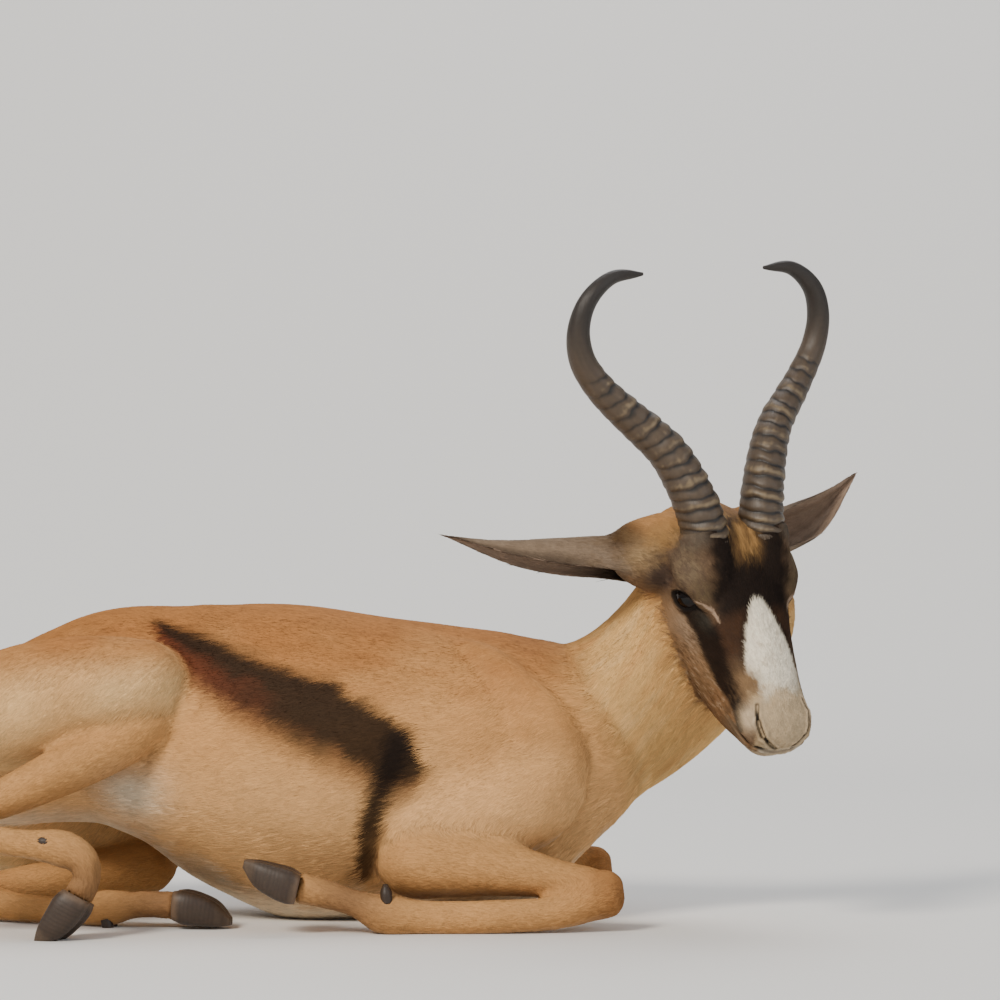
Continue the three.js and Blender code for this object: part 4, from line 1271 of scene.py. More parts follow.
def attributeColour(tree, shader, speckle=0.0, scale=1.0):
    colour = node(tree, "ShaderNodeAttribute", attribute_name="coatColour")
    if not speckle:
        link(tree, colour.outputs["Color"], shader.inputs["Base Color"])
        return
    ramp = node(tree, "ShaderNodeMapRange")
    ramp.inputs["To Min"].default_value = 1 - speckle
    ramp.inputs["To Max"].default_value = 1 + speckle
    link(tree, grain(tree, inObject(tree), scale, 3.0), ramp.inputs["Value"])
    mix = node(tree, "ShaderNodeVectorMath", operation="MULTIPLY")
    link(tree, colour.outputs["Color"], mix.inputs[0])
    link(tree, ramp.outputs["Result"], mix.inputs[1])
    link(tree, mix.outputs["Vector"], shader.inputs["Base Color"])


looks = {  # speckle is its strength and scale, and bump its strength and height in metres
    "shortFur": {"rough": 0.75, "specular": 0.1, "speckle": (0.18, 700), "stretch": (260, 1500, 1),
                 "scale": 1.0, "detail": 2.0, "bump": (0.5, 0.0012)},
    "coat": {"rough": 0.66, "specular": 0.13},
    "wetEye": {"rough": 0.04, "specular": 0.25},
    "horn": {"rough": 0.46, "specular": 0.5, "speckle": (0.16, 260), "stretch": (16, 260, 1),
             "scale": 1.0, "detail": 4.0, "bump": (0.35, 0.0008)},
    "hoof": {"rough": 0.52, "specular": 0.4, "speckle": (0.2, 500),
             "scale": 420.0, "detail": 3.0, "bump": (0.25, 0.0006)},
}


def paintedFinish(name):
    look = looks[name]
    material, tree, shader = finish(name, Roughness=look["rough"], Specular_IOR_Level=look["specular"])
    attributeColour(tree, shader, *look.get("speckle", ()))
    if "bump" in look:
        place = alongStrips(tree, look["stretch"]) if "stretch" in look else inObject(tree)
        addBump(tree, shader, grain(tree, place, look["scale"], look["detail"]), *look["bump"])
    return material


flesh = ["head", "neck", "torso", "ear_left", "ear_right"]
flesh += [f"{leg}_{side}_{bit}" for leg, bits in (("foreleg", ("forearm", "cannon")),
          ("hindleg", ("thigh", "shank", "cannon"))) for side in ("right", "left") for bit in bits]
skin = newPiece("skin", metres(wholePoints), wholeQuads)
setColours(skin, wholeColours)


def setUV(piece, uv, faces=None):
    layer = piece.data.uv_layers.new(name="OFBake")
    uv = np.asarray(uv, np.float32)
    layer.data.foreach_set("uv", (uv if faces is None else uv[keptCorners(faces)]).ravel())


setUV(skin, wholeUV, wholeQuads)
skin.data.materials.append(paintedFinish("shortFur"))
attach(skin, "root")
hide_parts(*flesh, "tail")
report("skin made")


# Roots for the coat, scattered over the skin and ears


def skinTriangles():
    first, second = wholeQuads[:, [0, 1, 2]], wholeQuads[:, [0, 2, 3]]
    uvFirst, uvSecond = wholeUV[:, [0, 1, 2]], wholeUV[:, [0, 2, 3]]
    real = wholeQuads[:, 3] != wholeQuads[:, 2]
    return np.concatenate([first, second[real]]), np.concatenate([uvFirst, uvSecond[real]])


def joined(body, ear):
    return np.concatenate([body] + [earParts[hand][ear] if isinstance(ear, str) else ear(earParts[hand])
                                    for hand in ("left", "right")])


def earShares(piece):
    return np.tile([1.0, 0, 0, 0, 0], (len(piece["points"]), 1))


def earLie(piece):  # from the root to the tip
    count = len(piece["points"])
    around = (count - 2) // (ears["steps"] + 1)
    rows = piece["points"][:-2].reshape(-1, around, 3)
    way = np.gradient(rows, axis=0).reshape(-1, 3)
    return unit(np.concatenate([way, way[:1], way[-1:]]))


wholeNormals = joined(skinNormals, "normals")
wholeLie = joined(lie, earLie)
wholeShares = joined(shares, earShares)
wholeAt = joined(np.full(len(skinPoints), -1.0), "at")
wholeAcross = joined(np.zeros(len(skinPoints)), "across")
wholeInner = joined(np.zeros(len(skinPoints), bool), "inner")
wholePart = np.concatenate([part, np.full(len(wholePoints) - len(part), len(partNames))])
triangles, triangleUV = skinTriangles()
corner = wholePoints[triangles]
triangleArea = np.linalg.norm(np.cross(corner[:, 1] - corner[:, 0], corner[:, 2] - corner[:, 0]), axis=1) / 2
triangleCentre = corner.mean(axis=1)
trianglePart = wholePart[triangles[:, 0]]
surface = BVHTree.FromPolygons(wholePoints.tolist(), triangles.tolist())
report("skin ready for its coat")


def scatter(chosen, count, density=None):
    index = np.nonzero(chosen)[0]
    weight = triangleArea[index] * (1 if density is None else density[index])
    edge = np.cumsum(weight)
    pick = index[np.minimum(np.searchsorted(edge, rng.random(count) * edge[-1]), len(index) - 1)]
    a, b = np.sqrt(rng.random(count)), rng.random(count)
    bary = np.stack([1 - a, a * (1 - b), a * b], axis=1)
    verts = triangles[pick]

    def mix(values):
        got = values[verts].astype(float)
        return np.einsum("ij,ij...->i...", bary, got)

    return {"place": mix(wholePoints), "normal": unit(mix(wholeNormals)), "lie": mix(wholeLie),
            "shares": mix(wholeShares), "at": mix(wholeAt), "across": mix(wholeAcross),
            "inner": wholeInner[verts[:, 0]], "ear": wholePart[verts[:, 0]] == len(partNames),
            "uv": np.einsum("ij,ijk->ik", bary, triangleUV[pick])}


def rootColours(roots):
    colours = np.zeros((len(roots["place"]), 3))
    ear = roots["ear"]
    colours[~ear] = paint(roots["place"][~ear], roots["normal"][~ear], roots["shares"][~ear])
    if ear.any():
        colours[ear] = paintEar(roots["place"][ear], roots["normal"][ear], roots["at"][ear],
                                roots["across"][ear], roots["inner"][ear])
    return colours


# Each tuft is a thin closed blade: two points and a ridge at the root, and one tip

tuft = {
    "sink": 0.35,
    "ridge": 0.22,
    "ridgeAt": 0.35,  # share of the way from root to tip
    "patch": 0.0015,
    "scatterTurn": 9,
    "drift": 0.22,  # how far neighbours turn together, in radians, and over how many mm
    "driftSize": 22,
    "shortest": 0.35,  # in a fold
    "toneSpread": 0.10,
    "rootShade": 0.86,
    "tipShade": 1.06,
    "lean": 0.22,  # how far its normals lean along the hair, and below to its sides
    "spread": 0.25,
    "floorGap": 0.15,
}


def onSurface(points):
    found = np.empty_like(points)
    normals = np.empty_like(points)
    for i, point in enumerate(points):
        found[i], normals[i] = surface.find_nearest(point)[:2]
    return found, normals


def growTufts(name, roots, long, wide, lift, finishOf):
    count = len(roots["place"])
    place, normal = roots["place"], roots["normal"]
    way = unit(roots["lie"] - normal * dot(roots["lie"], normal))
    side = np.cross(normal, way)
    turn = np.radians(tuft["scatterTurn"]) * rng.normal(size=count)
    turn = turn + tuft["drift"] * wobble(place, tuft["driftSize"], 20)
    way = way * np.cos(turn)[:, None] + side * np.sin(turn)[:, None]
    side = np.cross(normal, way)
    tip = onSurface(place + way * long[:, None])[0]
    # In a fold the hair is short, so that it does not bridge to the far side.
    rise = dot(tip - place, normal)[:, 0]
    long = long * np.clip(1.15 - 2.5 * rise / long, tuft["shortest"], 1)
    wanted = place + way * long[:, None]
    tip, tipNormal = onSurface(wanted)
    bend = dot(tipNormal, normal)[:, 0]
    tip = tip + tipNormal * (lift * (0.6 + 0.8 * rng.random(count)))[:, None]
    far = (np.linalg.norm(tip - wanted, axis=1) > long * 0.7) | (bend < -0.2)
    tip[far] = (wanted + normal * lift[:, None])[far]
    tipNormal[far] = normal[far]
    half = side * (wide / 2)[:, None]
    base = place - normal * tuft["sink"]
    # The ridge stands over the straight line from root to tip, so each blade's upper faces look outwards.
    over = unit(np.cross(tip - base, side))
    chord = base + (tip - base) * tuft["ridgeAt"]
    skinBelow = place + way * (long * tuft["ridgeAt"])[:, None]
    bulge = dot(skinBelow - chord, over).clip(0) * (1 - tuft["ridgeAt"])
    ridge = chord + over * (bulge + (wide * tuft["ridge"] + lift * 0.3)[:, None])
    points = np.stack([base - half, base + half, ridge, tip], axis=1)
    points[..., 2] = np.maximum(points[..., 2], tuft["floorGap"])
    start = np.arange(count)[:, None, None] * 4
    faces = (start + np.array([[0, 1, 2], [0, 2, 3], [1, 3, 2], [0, 3, 1]])[None, :, ::-1]).reshape(-1, 3)
    colours = rootColours(roots) * (1 + tuft["toneSpread"] * rng.normal(size=count).clip(-2, 2))[:, None]
    shade = np.array([tuft["rootShade"], tuft["rootShade"], 1.0, tuft["tipShade"]])
    colours = np.clip(colours[:, None] * shade[None, :, None], 0, 1).reshape(-1, 3)
    piece = newPiece(name, metres(points.reshape(-1, 3)), faces)
    setColours(piece, colours)
    offset = tuft["patch"] * np.array([[-1, -1], [1, -1], [0, 0.2], [0, 1]])
    cornerUV = np.clip(roots["uv"][:, None] + offset[None], 0.0005, 0.9995).reshape(-1, 2)
    setUV(piece, cornerUV[faces])
    # The light reads the blades as a soft surface that leans a little along the hair.
    lean = unit(normal + way * tuft["lean"] * 0.5)
    spread = side * tuft["spread"]
    tipLean = unit(tipNormal + way * tuft["lean"])
    facing = np.stack([unit(lean - spread), unit(lean + spread), lean, tipLean], axis=1)
    piece.data.normals_split_custom_set_from_vertices(facing.reshape(-1, 3).tolist())
    piece.data.materials.append(finishOf)
    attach(piece, "root")
    return piece


strand = {"thinnest": 0.06, "flat": 0.7, "floorGap": 0.2}


def growStrands(name, paths, wide, colours, uv, finishOf):  # long hair: thin tapered tubes with three sides
    count, steps = paths.shape[:2]
    forward = unit(np.gradient(paths, axis=1))
    side = unit(np.cross(forward, np.array([0.3, 0.9, 0.3])))
    up = np.cross(side, forward)
    along = (np.arange(steps) / (steps - 1))[None]
    taper = wide[:, None] / 2 * np.maximum(1 - along ** 1.8, strand["thinnest"])
    angle = np.radians([-30, 90, 210])
    ring = side[:, :, None] * np.cos(angle)[:, None]
    ring = ring + up[:, :, None] * strand["flat"] * np.sin(angle)[:, None]
    points = paths[:, :, None] + ring * taper[:, :, None, None]
    points[..., 2] = np.maximum(points[..., 2], strand["floorGap"])
    i, j = np.arange(steps - 1)[:, None] * 3, np.arange(3)[None]
    k = (j + 1) % 3
    one = np.concatenate([np.stack([i + j, i + k, i + k + 3], -1).reshape(-1, 3),
                          np.stack([i + j, i + k + 3, i + j + 3], -1).reshape(-1, 3),
                          [[0, 2, 1]], [[3 * steps - 3, 3 * steps - 2, 3 * steps - 1]]])
    faces = (np.arange(count)[:, None, None] * 3 * steps + one[None]).reshape(-1, 3)
    piece = newPiece(name, metres(points.reshape(-1, 3)), faces)
    setColours(piece, np.repeat(colours, 3 * steps, axis=0))
    spots = np.stack([np.tile(np.cos(angle), steps), np.repeat(np.linspace(-1, 1, steps), 3)], 1)
    spots = tuft["patch"] * spots
    cornerUV = np.clip(uv[:, None] + spots[None], 0.0005, 0.9995).reshape(-1, 2)
    setUV(piece, cornerUV[faces])
    piece.data.materials.append(finishOf)
    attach(piece, "root")
    return piece


def isPart(*words):
    return np.isin(trianglePart, [i for i, n in enumerate(partNames) if n.startswith(words)])


coatPlans = [  # how many blades, their length and width, and how far the tips stand off
    {"name": "coatFlankRight", "count": 36000, "long": 15, "wide": 1.3, "lift": 0.9},
    {"name": "coatFlankLeft", "count": 32000, "long": 15, "wide": 1.3, "lift": 0.9},
    {"name": "coatBack", "count": 36000, "long": 15, "wide": 1.3, "lift": 0.9},
    {"name": "coatBelly", "count": 24000, "long": 14, "wide": 1.3, "lift": 0.9},
    {"name": "coatNeck", "count": 44000, "long": 17, "wide": 1.3, "lift": 1.3},
    {"name": "coatShoulders", "count": 34000, "long": 11, "wide": 1.15, "lift": 0.7},
    {"name": "coatThighs", "count": 36000, "long": 12, "wide": 1.2, "lift": 0.7},
    {"name": "coatForelegs", "count": 28000, "long": 6.5, "wide": 0.9, "lift": 0.45},
    {"name": "coatHindlegs", "count": 24000, "long": 6.5, "wide": 0.9, "lift": 0.45},
    {"name": "coatFace", "count": 48000, "long": 5.2, "wide": 0.75, "lift": 0.45},
    {"name": "coatEars", "count": 26000, "long": 7, "wide": 0.7, "lift": 0.5},
]


def regionOf(name):
    isTrunk = isPart("trunk", "tail")
    y, up = triangleCentre[:, 1], np.cross(corner[:, 1] - corner[:, 0], corner[:, 2] - corner[:, 0])
    up = up[:, 2] / np.maximum(np.linalg.norm(up, axis=1), 1e-9)
    clear = triangleCentre[:, 2] > 1.0
    back = up > 0.72
    belly = up < -0.35
    return clear & {
        "coatFlankRight": isTrunk & ~back & ~belly & (y < 0),
        "coatFlankLeft": isTrunk & ~back & ~belly & (y >= 0),
        "coatBack": isTrunk & back,
        "coatBelly": isTrunk & belly,
        "coatNeck": isPart("neck"),
        "coatShoulders": isPart("shoulder", "upperArm"),
        "coatThighs": isPart("thigh"),
        "coatForelegs": isPart("fore"),
        "coatHindlegs": isPart("shank", "hind"),
        "coatFace": isPart("head"),
        "coatEars": trianglePart == len(partNames),
    }[name]


coatLook = paintedFinish("coat")
for plan in coatPlans:
    density = None
    if plan["name"] == "coatFace":
        own = toHead(triangleCentre)
        density = 0.6 + smooth(-60, 0, own[:, 2]) * 0.7 + smooth(60, 120, own[:, 2]) * 0.6
    roots = scatter(regionOf(plan["name"]), plan["count"], density)
    vary = 0.75 + 0.5 * rng.random(len(roots["place"]))
    long, wide = plan["long"] * vary, plan["wide"] * (0.8 + 0.4 * rng.random(len(vary)))
    keep = np.ones(len(vary), bool)
    if plan["name"] == "coatFace":
        own = toHead(roots["place"])
        size = 1 - 0.55 * smooth(20, 130, own[:, 2]) + 1.0 * smooth(-40, -90, own[:, 2])
        crown = np.exp(-(own[:, 0] / 16) ** 2 - ((own[:, 2] + 26) / 16) ** 2) * smooth(-20, 5, own[:, 1])
        long = long * (size + 1.3 * crown)
        wide = wide * (0.75 + 0.25 * size)
        folded = foldedOver(own)
        for groove in grooves[:3]:
            keep &= lineDistance(folded, groove["line"]) > groove["half"] * 1.4 + 0.25 * long
        for hand in (1, -1):
            near = np.linalg.norm(own - sided(hand, head["eyePlace"]), axis=1) < 30
            share = eyeShare(own, hand)[0]
            keep &= ~(near & (share < 1.25))
            long = np.where(near, long * (0.45 + 0.55 * smooth(1.2, 2.6, share)), long)
    if plan["name"] == "coatNeck":
        long = long * (1 + 0.3 * smooth(0.2, -0.6, roots["normal"][:, 2]))
    if plan["name"] == "coatEars":
        edge = smooth(0.75, 0.98, np.abs(roots["across"])) * roots["inner"]
        long = long * (1 + 0.9 * edge) * (1 - 0.45 * smooth(0.6, 1, roots["at"]))
        hidden = np.where(roots["inner"], 52, 40)  # the ear's root, inside the head
        keep &= roots["at"] * ears["length"] > hidden
    if plan["name"] in ("coatForelegs", "coatHindlegs"):  # a longer fringe over the top of each hoof
        ends = np.array([bodyRows[part][-1][:3] for part, _ in soles.values()])
        away = np.min(np.linalg.norm(roots["place"][:, None] - ends[None], axis=2), axis=1)
        long = long * (1 + 1.1 * smooth(26, 12, away))
    roots = {key: value[keep] for key, value in roots.items()}
    lift = np.full(int(keep.sum()), plan["lift"])
    growTufts(plan["name"], roots, long[keep], wide[keep], lift, coatLook)


# The tail's brush and the lashes, of longer hair

brush = {
    "line": [(-503, 27, 124), (-503, 22, 100), (-502, 16, 80), (-496, 8, 58)],
    "hang": (0.18, -0.25, -0.92),
    "spread": 8, "long": 60, "count": 1300, "wide": 1.1,
    "tones": (0x20150E, 0x43301F),
}


def growBrush():
    count = brush["count"]
    share, angle = rng.random(count), rng.random(count) * 2 * np.pi
    away = brush["spread"] * np.sqrt(rng.random(count))
    outward = np.stack([np.cos(angle), np.sin(angle), np.zeros(count)], axis=1)
    line = np.array(brush["line"], float)
    root = np.stack([np.interp(share, np.linspace(0, 1, len(line)), line[:, k]) for k in range(3)], axis=1)
    root = root + outward * np.minimum(away, 6)[:, None]
    long = brush["long"] * (0.4 + 0.35 * share + 0.25 * rng.random(count))
    down = unit(np.array(brush["hang"], float))
    t = np.linspace(0, 1, 6)[None, :, None]
    fan = np.sin(np.pi * np.minimum(t * 1.1, 1) * 0.8) * away[:, None, None]
    paths = root[:, None] + down * t * long[:, None, None] + outward[:, None] * fan
    paths = paths + (rng.normal(size=(count, 1, 3)) * t ** 2) * 1.5
    mixed = rng.random(count)[:, None]
    colours = tone(brush["tones"][0]) * (1 - mixed) + tone(brush["tones"][1]) * mixed
    x, y = stripPlaces["tail"]
    length, around = stripSizes["tail"]
    uv = np.stack([x + length * (0.5 + 0.4 * share), y + around * angle / (2 * np.pi)], 1) * stripScale
    growStrands("coatTailBrush", paths, np.full(count, brush["wide"]), colours, uv, coatLook)


lashes = {"count": 90, "long": 6.5, "wide": 0.5, "tone": 0x0E0907}


def growLashes():
    paths, uvs = [], []
    for hand in (1, -1):
        along, across, look = eyeAxes(hand)
        t = np.linspace(-0.95, 0.95, lashes["count"]) + 0.01 * rng.normal(size=lashes["count"])
        tall = head["lidTall"] * np.clip(1 - 0.3 * t ** 2, 0.3, 1)
        tall = tall * np.sqrt(np.clip(1 - t ** 2, 0.02, 1)) * 1.16
        gap = along * (t * head["lidWide"] * 1.05)[:, None] + across * tall[:, None]
        out = np.maximum((head["eyeRadius"] + 1.4) ** 2 - np.sum(gap ** 2, axis=1), 1)
        gap = gap + look * np.sqrt(out)[:, None]
        root = sided(hand, head["eyePlace"]) + gap
        way = unit(look * 0.9 + across * 0.25 + along * (t * 0.5)[:, None])
        s = np.linspace(0, 1, 5)[None, :, None]
        long = lashes["long"] * (0.6 + 0.4 * rng.random(len(t))) * (1 - 0.35 * np.abs(t))
        long = long[:, None, None]
        path = root[:, None] + way[:, None] * s * long - across * (s ** 2 * long * 0.45)
        paths.append(fromHead(path.reshape(-1, 3)).reshape(path.shape))
        found = np.array([surface.find_nearest(p)[2] for p in fromHead(root)])
        uvs.append(triangleUV[found].mean(axis=1))
    paths = np.concatenate(paths)
    colours = evenTone(lashes["tone"], paths)
    wide = np.full(len(paths), lashes["wide"])
    growStrands("lashes", paths, wide, colours, np.concatenate(uvs), coatLook)


growBrush()
growLashes()
report("coat grown")


# Eyes

eye = {
    "rise": 0.06, "iris": 11.3, "pupil": (5.6, 2.6), "steps": 72, "around": 96,
    "tones": {"ball": 0x0B0807, "iris": 0x140B07, "rim": 0x0B0706, "pupil": 0x030303},
}


eyeLook = paintedFinish("wetEye")
for name, hand in (("left", 1), ("right", -1)):
    along, across, look = eyeAxes(hand)
    polar = np.pi * (np.arange(eye["steps"] + 1) / eye["steps"]) ** 1.4
    angle = 2 * np.pi * np.arange(eye["around"]) / eye["around"]
    radius = head["eyeRadius"] * (1 + eye["rise"] * np.exp(-(polar / 0.5) ** 2))
    circle = np.cos(angle)[None, :, None] * along + np.sin(angle)[None, :, None] * across
    ring = np.sin(polar)[:, None, None] * circle
    rings = radius[:, None, None] * (ring + np.cos(polar)[:, None, None] * look)
    points, faces = closedForm(rings)
    a, b, out = points @ along, points @ across, points @ look
    flat = np.hypot(a, b)
    iris = smooth(eye["iris"] + 0.4, eye["iris"] - 0.6, flat) * (out > 0)
    slot = ((np.abs(a) / eye["pupil"][0]) ** 2.6 + (np.abs(b) / eye["pupil"][1]) ** 2.6) ** (1 / 2.6)
    pupil = smooth(1.12, 0.92, slot) * (out > 0)
    turns = np.arctan2(b, a)
    rays = 0.5 + 0.5 * np.sin(turns * 37 + 3 * np.sin(turns * 11)) * smooth(2, 9, flat)
    tones = eye["tones"]
    colours = lay(evenTone(tones["ball"], points), tones["iris"], iris * (0.6 + 0.4 * rays))
    colours = lay(colours, tones["rim"], iris * smooth(9.5, 11, flat) * 0.8)
    colours = lay(colours, tones["pupil"], pupil)
    points = fromHead(points + sided(hand, head["eyePlace"]))
    piece = newPiece("eyeBall" + name.capitalize(), metres(points), faces)
    setColours(piece, colours)
    piece.data.materials.append(eyeLook)
    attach(piece, "root")
    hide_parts("eye_" + name)


# Horns

hornMake = {
    "path": [(28, -14, -14), (34, 19, -65), (54, 43, -115), (71, 49, -139), (92, 57, -160), (112, 67, -181),
             (127, 82, -201), (131, 102, -220), (122, 122, -237), (98, 136, -250), (66, 138, -251)],
    "thickness": [(0, 22), (0.1, 22), (0.25, 20), (0.42, 17), (0.58, 13.7), (0.74, 10.8), (0.88, 7.4),
                  (0.96, 4.5), (1, 1.6)],
    "across": 0.94, "deep": 1.06, "ridges": 18, "from": 0.08, "to": 0.66, "crowding": 1.3, "swell": 0.06,
    "steps": 420, "around": 52,
    "dip": 0.5,  # how far each ring dips at the front, in rings
    "crestAt": 0.3,  # where in a ring its crest stands, from the side of the base
    # groove is painted shade between the rings, and the crest tone a painted highlight on their crests
    "tones": {"horn": 0x47392A, "groove": 0x140E09, "crestHighlight": 0x7F6D51, "tip": 0x1C1612, "root": 0x5E4F39},
}


def curveThrough(points, steps):  # a centripetal curve read at even distances, and its direction
    p = np.asarray(points, float)
    p = np.concatenate([[2 * p[0] - p[1]], p, [2 * p[-1] - p[-2]]])
    out = []
    for i in range(1, len(p) - 2):
        k = [0]
        for a, b in ((i - 1, i), (i, i + 1), (i + 1, i + 2)):
            k.append(k[-1] + np.linalg.norm(p[b] - p[a]) ** 0.5)
        t = np.linspace(k[1], k[2], 60, endpoint=False)[:, None]
        a1 = (k[1] - t) / (k[1] - k[0]) * p[i - 1] + (t - k[0]) / (k[1] - k[0]) * p[i]
        a2 = (k[2] - t) / (k[2] - k[1]) * p[i] + (t - k[1]) / (k[2] - k[1]) * p[i + 1]
        a3 = (k[3] - t) / (k[3] - k[2]) * p[i + 1] + (t - k[2]) / (k[3] - k[2]) * p[i + 2]
        b1 = (k[2] - t) / (k[2] - k[0]) * a1 + (t - k[0]) / (k[2] - k[0]) * a2
        b2 = (k[3] - t) / (k[3] - k[1]) * a2 + (t - k[1]) / (k[3] - k[1]) * a3
        out.append((k[2] - t) / (k[2] - k[1]) * b1 + (t - k[1]) / (k[2] - k[1]) * b2)
    out = np.concatenate(out + [p[-2:-1]])
    places = np.concatenate([[0], np.cumsum(np.linalg.norm(np.diff(out, axis=0), axis=1))])
    at = np.linspace(0, places[-1], steps + 1)
    even = np.stack([np.interp(at, places, out[:, k]) for k in range(3)], 1)
    return even, unit(np.gradient(even, axis=0))


hornLook = paintedFinish("horn")
for name, hand in (("left", 1), ("right", -1)):
    steps, around = hornMake["steps"], hornMake["around"]
    centre, forward = curveThrough([sided(hand, p) for p in hornMake["path"]], steps)
    at = np.linspace(0, 1, steps + 1)
    size = readRows(hornMake["thickness"], [r[0] for r in hornMake["thickness"]], at)[:, 1]
    front = unit(np.array([0, 1.0, 0]) - forward * forward[:, 1:2])
    out = np.cross(front, forward)
    angle = 2 * np.pi * np.arange(around) / around
    share = np.clip((at - hornMake["from"]) / (hornMake["to"] - hornMake["from"]), 0, 1)[:, None]
    lean = hornMake["dip"] * np.sin(angle)[None] / hornMake["ridges"] * (1 - 0.4 * share)
    count = hornMake["ridges"] * np.clip(share + lean, 0, 1) ** (1 / hornMake["crowding"])
    count = count + 0.07 * np.sin(3 * angle + 5 * share * 9) + 0.05 * np.sin(7 * angle + 31 * share)
    along, crestAt = count % 1, hornMake["crestAt"]
    wave = np.where(along < crestAt, np.sin(np.pi / 2 * along / crestAt),
                    np.cos(np.pi / 2 * (along - crestAt) / (1 - crestAt)) ** 1.15)
    wave = wave * (0.85 + 0.2 * np.sin(np.floor(count) * 2.7 + 1))
    ringed = smooth(0, 0.05, share) * smooth(1.0, 0.88, share)
    strong = (0.6 + 0.4 * np.sin(angle)[None].clip(-0.6, 1)) * (1 - 0.4 * at[:, None])
    ridge = (wave - 0.5) * 2 * ringed * strong
    swell = 1 + hornMake["swell"] * ridge
    radius = size[:, None] * swell
    rings = centre[:, None] + out[:, None] * (radius * hornMake["across"] * np.cos(angle))[..., None] \
        + front[:, None] * (radius * hornMake["deep"] * np.sin(angle))[..., None]
    points, faces = closedForm(rings)
    full = np.concatenate([ridge.ravel(), [0, 0]])
    atAll = np.concatenate([np.repeat(at, around), [0, 1]])
    roundAll = np.concatenate([np.tile(angle, steps + 1), [0, 0]])
    mottle = wobble(points, 5, 9) * 0.5 + wobble(points, 2, 10) * 0.5
    fibre = wobble(np.stack([np.cos(roundAll) * 9, np.sin(roundAll) * 9, atAll * 14], axis=1), 1, 18)
    tones = hornMake["tones"]
    # painted shade: darker in the grooves between the rings
    base = lay(evenTone(tones["horn"], points), tones["groove"], smooth(0.0, -0.8, full + 0.2 * mottle))
    # painted highlight: paler on the crests of the rings, most at the front
    base = lay(base, tones["crestHighlight"], smooth(0.4, 1.0, full + 0.35 * mottle + 0.25 * fibre) * 0.6)
    base = lay(base, tones["tip"], smooth(0.6, 0.8, atAll) * 0.9)
    base = lay(base, tones["root"], smooth(0.1, 0.02, atAll + 0.01 * mottle) * 0.8)
    base = base * (1 + 0.16 * fibre)[:, None]
    piece = newPiece("horn" + name.capitalize(), metres(fromHead(points)), faces)
    setColours(piece, np.clip(base * (1 + 0.1 * mottle)[:, None], 0, 1))
    around01 = np.concatenate([np.tile(np.arange(around) / around, steps + 1), [0.5, 0.5]])
    uv = np.stack([0.02 + atAll * 0.96, 0.02 + around01 * 0.9], 1)[faces]
    wraps = uv[..., 1].max(axis=1) - uv[..., 1].min(axis=1) > 0.6
    uv[..., 1] = np.where(wraps[:, None] & (uv[..., 1] < 0.3), uv[..., 1] + 0.9, uv[..., 1])
    setUV(piece, uv)
    piece.data.materials.append(hornLook)
    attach(piece, "root")
    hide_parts("horn_" + name)
report("eyes and horns made")


# Hooves

clawMake = {
    "rows": [(0, 10, 14, 12), (8, 11, 15, 15), (24, 10, 12, 16), (40, 7.5, 5, 16), (52, 3, -7, 14)],
    "square": 0.75, "inner": 0.85, "set": 0.92, "gap": 0.3, "around": 36,
    "tones": {"wall": 0x3A2D23, "band": 0x221A14, "top": 0x6A5440, "toe": 0x5F4E3E},
}
dewclawMake = {"sunk": 0.55, "apart": 7, "long": 15, "forward": 5, "radius": 5, "tip": 2, "tone": 0x33271E}


def footAxes(leg):  # the rows of its cannon, the way of the toes and the way of the sole
    part, sole = soles[leg]
    rows = bodyRows[part]
    toe = unit(np.array(rows[-1][:3], float) - rows[-2][:3])
    down = np.array(sole, float)
    return rows, toe, unit(down - toe * (down @ toe))


def clawRings(leg, outward):
    rows, toe, down = footAxes(leg)
    across = np.cross(toe, down)
    length = clawMake["rows"][-1][0]
    at = np.linspace(0, 1, 51) ** 0.8 * length
    _, half, over, under = readRows(clawMake["rows"], [r[0] for r in clawMake["rows"]], at).T
    # Faint rings of growth
    growth = 1 + 0.003 * np.sin(at * 1.7 + 0.6 * np.sin(at * 0.5)) * smooth(0, 6, at)
    half, over = half * growth, over * growth
    apart = outward * (half * clawMake["set"] + 2 * clawMake["gap"])
    centre = np.array(rows[-1][:3], float) + toe * (at + 2 * clawMake["gap"])[:, None] \
        + across * apart[:, None] + down * ((under - over) / 2)[:, None]
    angle = 2 * np.pi * (np.arange(clawMake["around"]) + 0.5) / clawMake["around"]
    c, s = np.cos(angle), np.sin(angle)
    wide = np.where(c * outward > 0, half[:, None], half[:, None] * clawMake["inner"])
    wide = wide * np.sign(c) * np.abs(c) ** clawMake["square"]
    tall = (over + under)[:, None] / 2 * np.sign(s) * np.abs(s) ** clawMake["square"]
    rings = centre[:, None] + across * wide[..., None] - down * tall[..., None]
    rings[..., 2] = np.maximum(rings[..., 2], 0)
    return rings, at / length


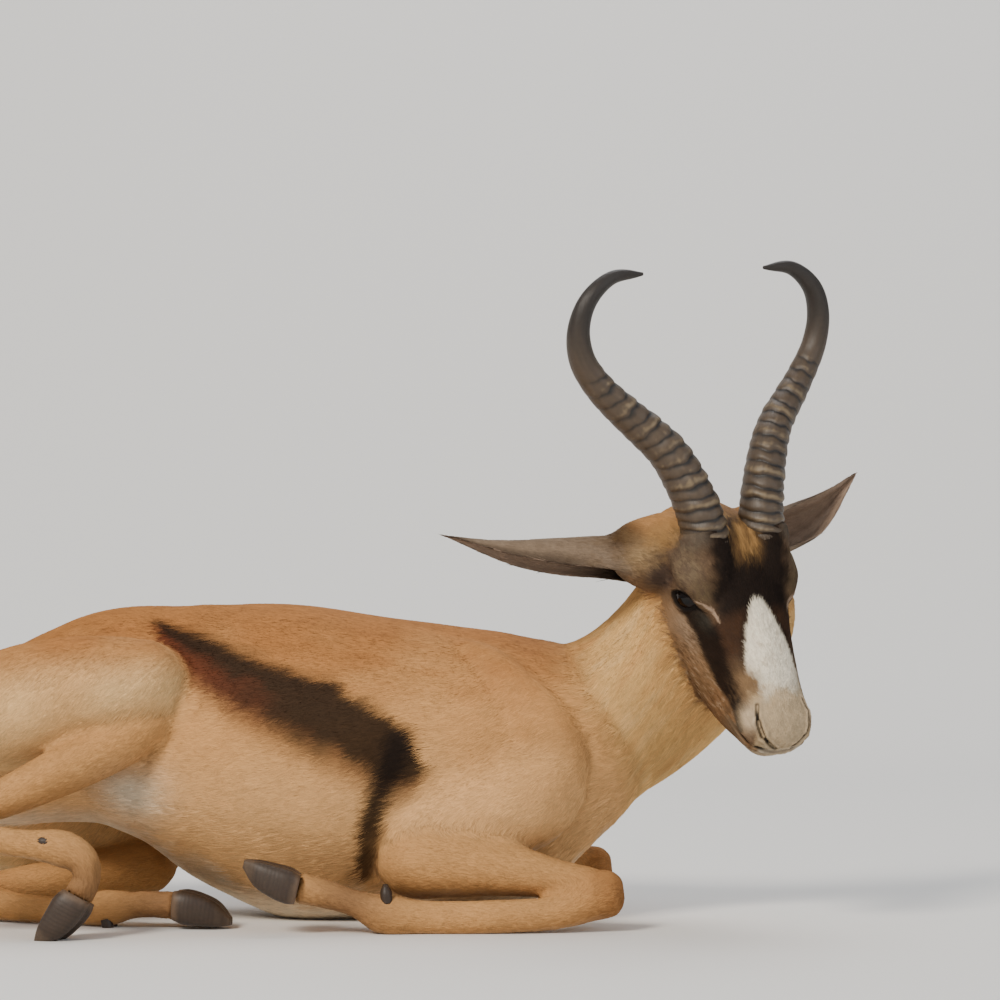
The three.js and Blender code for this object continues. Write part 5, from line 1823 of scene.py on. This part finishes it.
hoofLook = paintedFinish("hoof")
for leg in soles:
    for word, outward in (("outer", 1), ("inner", -1)):
        rings, at = clawRings(leg, outward)
        points, faces = closedForm(rings)
        atAll = np.concatenate([np.repeat(at, clawMake["around"]), [0, 1]])
        bands = np.sin(atAll * 88 + 3 * wobble(points, 9, 12))
        tones = clawMake["tones"]
        colours = lay(evenTone(tones["wall"], points), tones["band"], smooth(-0.3, 0.9, bands) * 0.3)
        colours = lay(colours, tones["top"], smooth(0.16, 0.0, atAll + 0.03 * wobble(points, 5, 24)) * 0.8)
        colours = lay(colours, tones["toe"], smooth(0.72, 1.0, atAll + 0.1 * wobble(points, 6, 25)) * 0.6)
        piece = newPiece(f"{leg}Hoof{word.capitalize()}", metres(points), faces)
        setColours(piece, colours * (1 + 0.1 * wobble(points, 4, 13))[:, None])
        piece.data.materials.append(hoofLook)
        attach(piece, "root")
        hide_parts(f"{leg}_hoof_{word}")
    rows, toe, down = footAxes(leg)
    joint = rows[6 if leg.startswith("fore") else 5]  # the fetlock
    stubs = []
    for hand in (-1, 1):
        top = np.array(joint[:3], float) + down * joint[4] * dewclawMake["sunk"] \
            + np.cross(toe, down) * hand * dewclawMake["apart"]
        end = top + down * dewclawMake["long"] + toe * dewclawMake["forward"]
        sizes = ((0, dewclawMake["radius"]), (0.6, dewclawMake["radius"]), (1, dewclawMake["tip"]))
        line = spine([[*(top + (end - top) * share), size, size] for share, size in sizes], 14, toe)
        stubs.append(closedForm(ringsOf(line, 20)))
    points, faces = joinForms(stubs)
    points[:, 2] = np.maximum(points[:, 2], 0)
    piece = newPiece(f"{leg}Dewclaws", metres(points), faces)
    setColours(piece, evenTone(dewclawMake["tone"], points) * (1 + 0.1 * wobble(points, 3, 13))[:, None])
    piece.data.materials.append(hoofLook)
    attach(piece, "root")
report("hooves made")


# The floor, a wide pale sheet that rises softly behind


sheet = {"half": 9, "near": -7, "far": 5, "flatTo": 2.6, "rise": 1.6}


def makeFloor():
    across = np.linspace(-sheet["half"], sheet["half"], 41)
    depth = np.linspace(sheet["near"], sheet["far"], 60)
    rise = sheet["rise"] * np.where(depth > sheet["flatTo"], (depth - sheet["flatTo"]) ** 2 / 2, 0)
    x, y = np.meshgrid(across, depth)
    z = np.tile(rise[:, None], (1, len(across)))
    points = np.stack([x, y, z], -1).reshape(-1, 3)
    i = (np.arange(len(depth) - 1)[:, None] * len(across) + np.arange(len(across) - 1)[None]).ravel()
    faces = np.stack([i, i + 1, i + len(across) + 1, i + len(across)], 1)
    floor = newPiece("floor", points, faces)
    material = finish("paleFloor", Base_Color=(*view["floorColour"], 1), Roughness=0.85)[0]
    floor.data.materials.append(material)
    floor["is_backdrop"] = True


makeFloor()

sizes = {"cad": cadBox, "visual": [list(corner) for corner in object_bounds()]}
print(sizes)
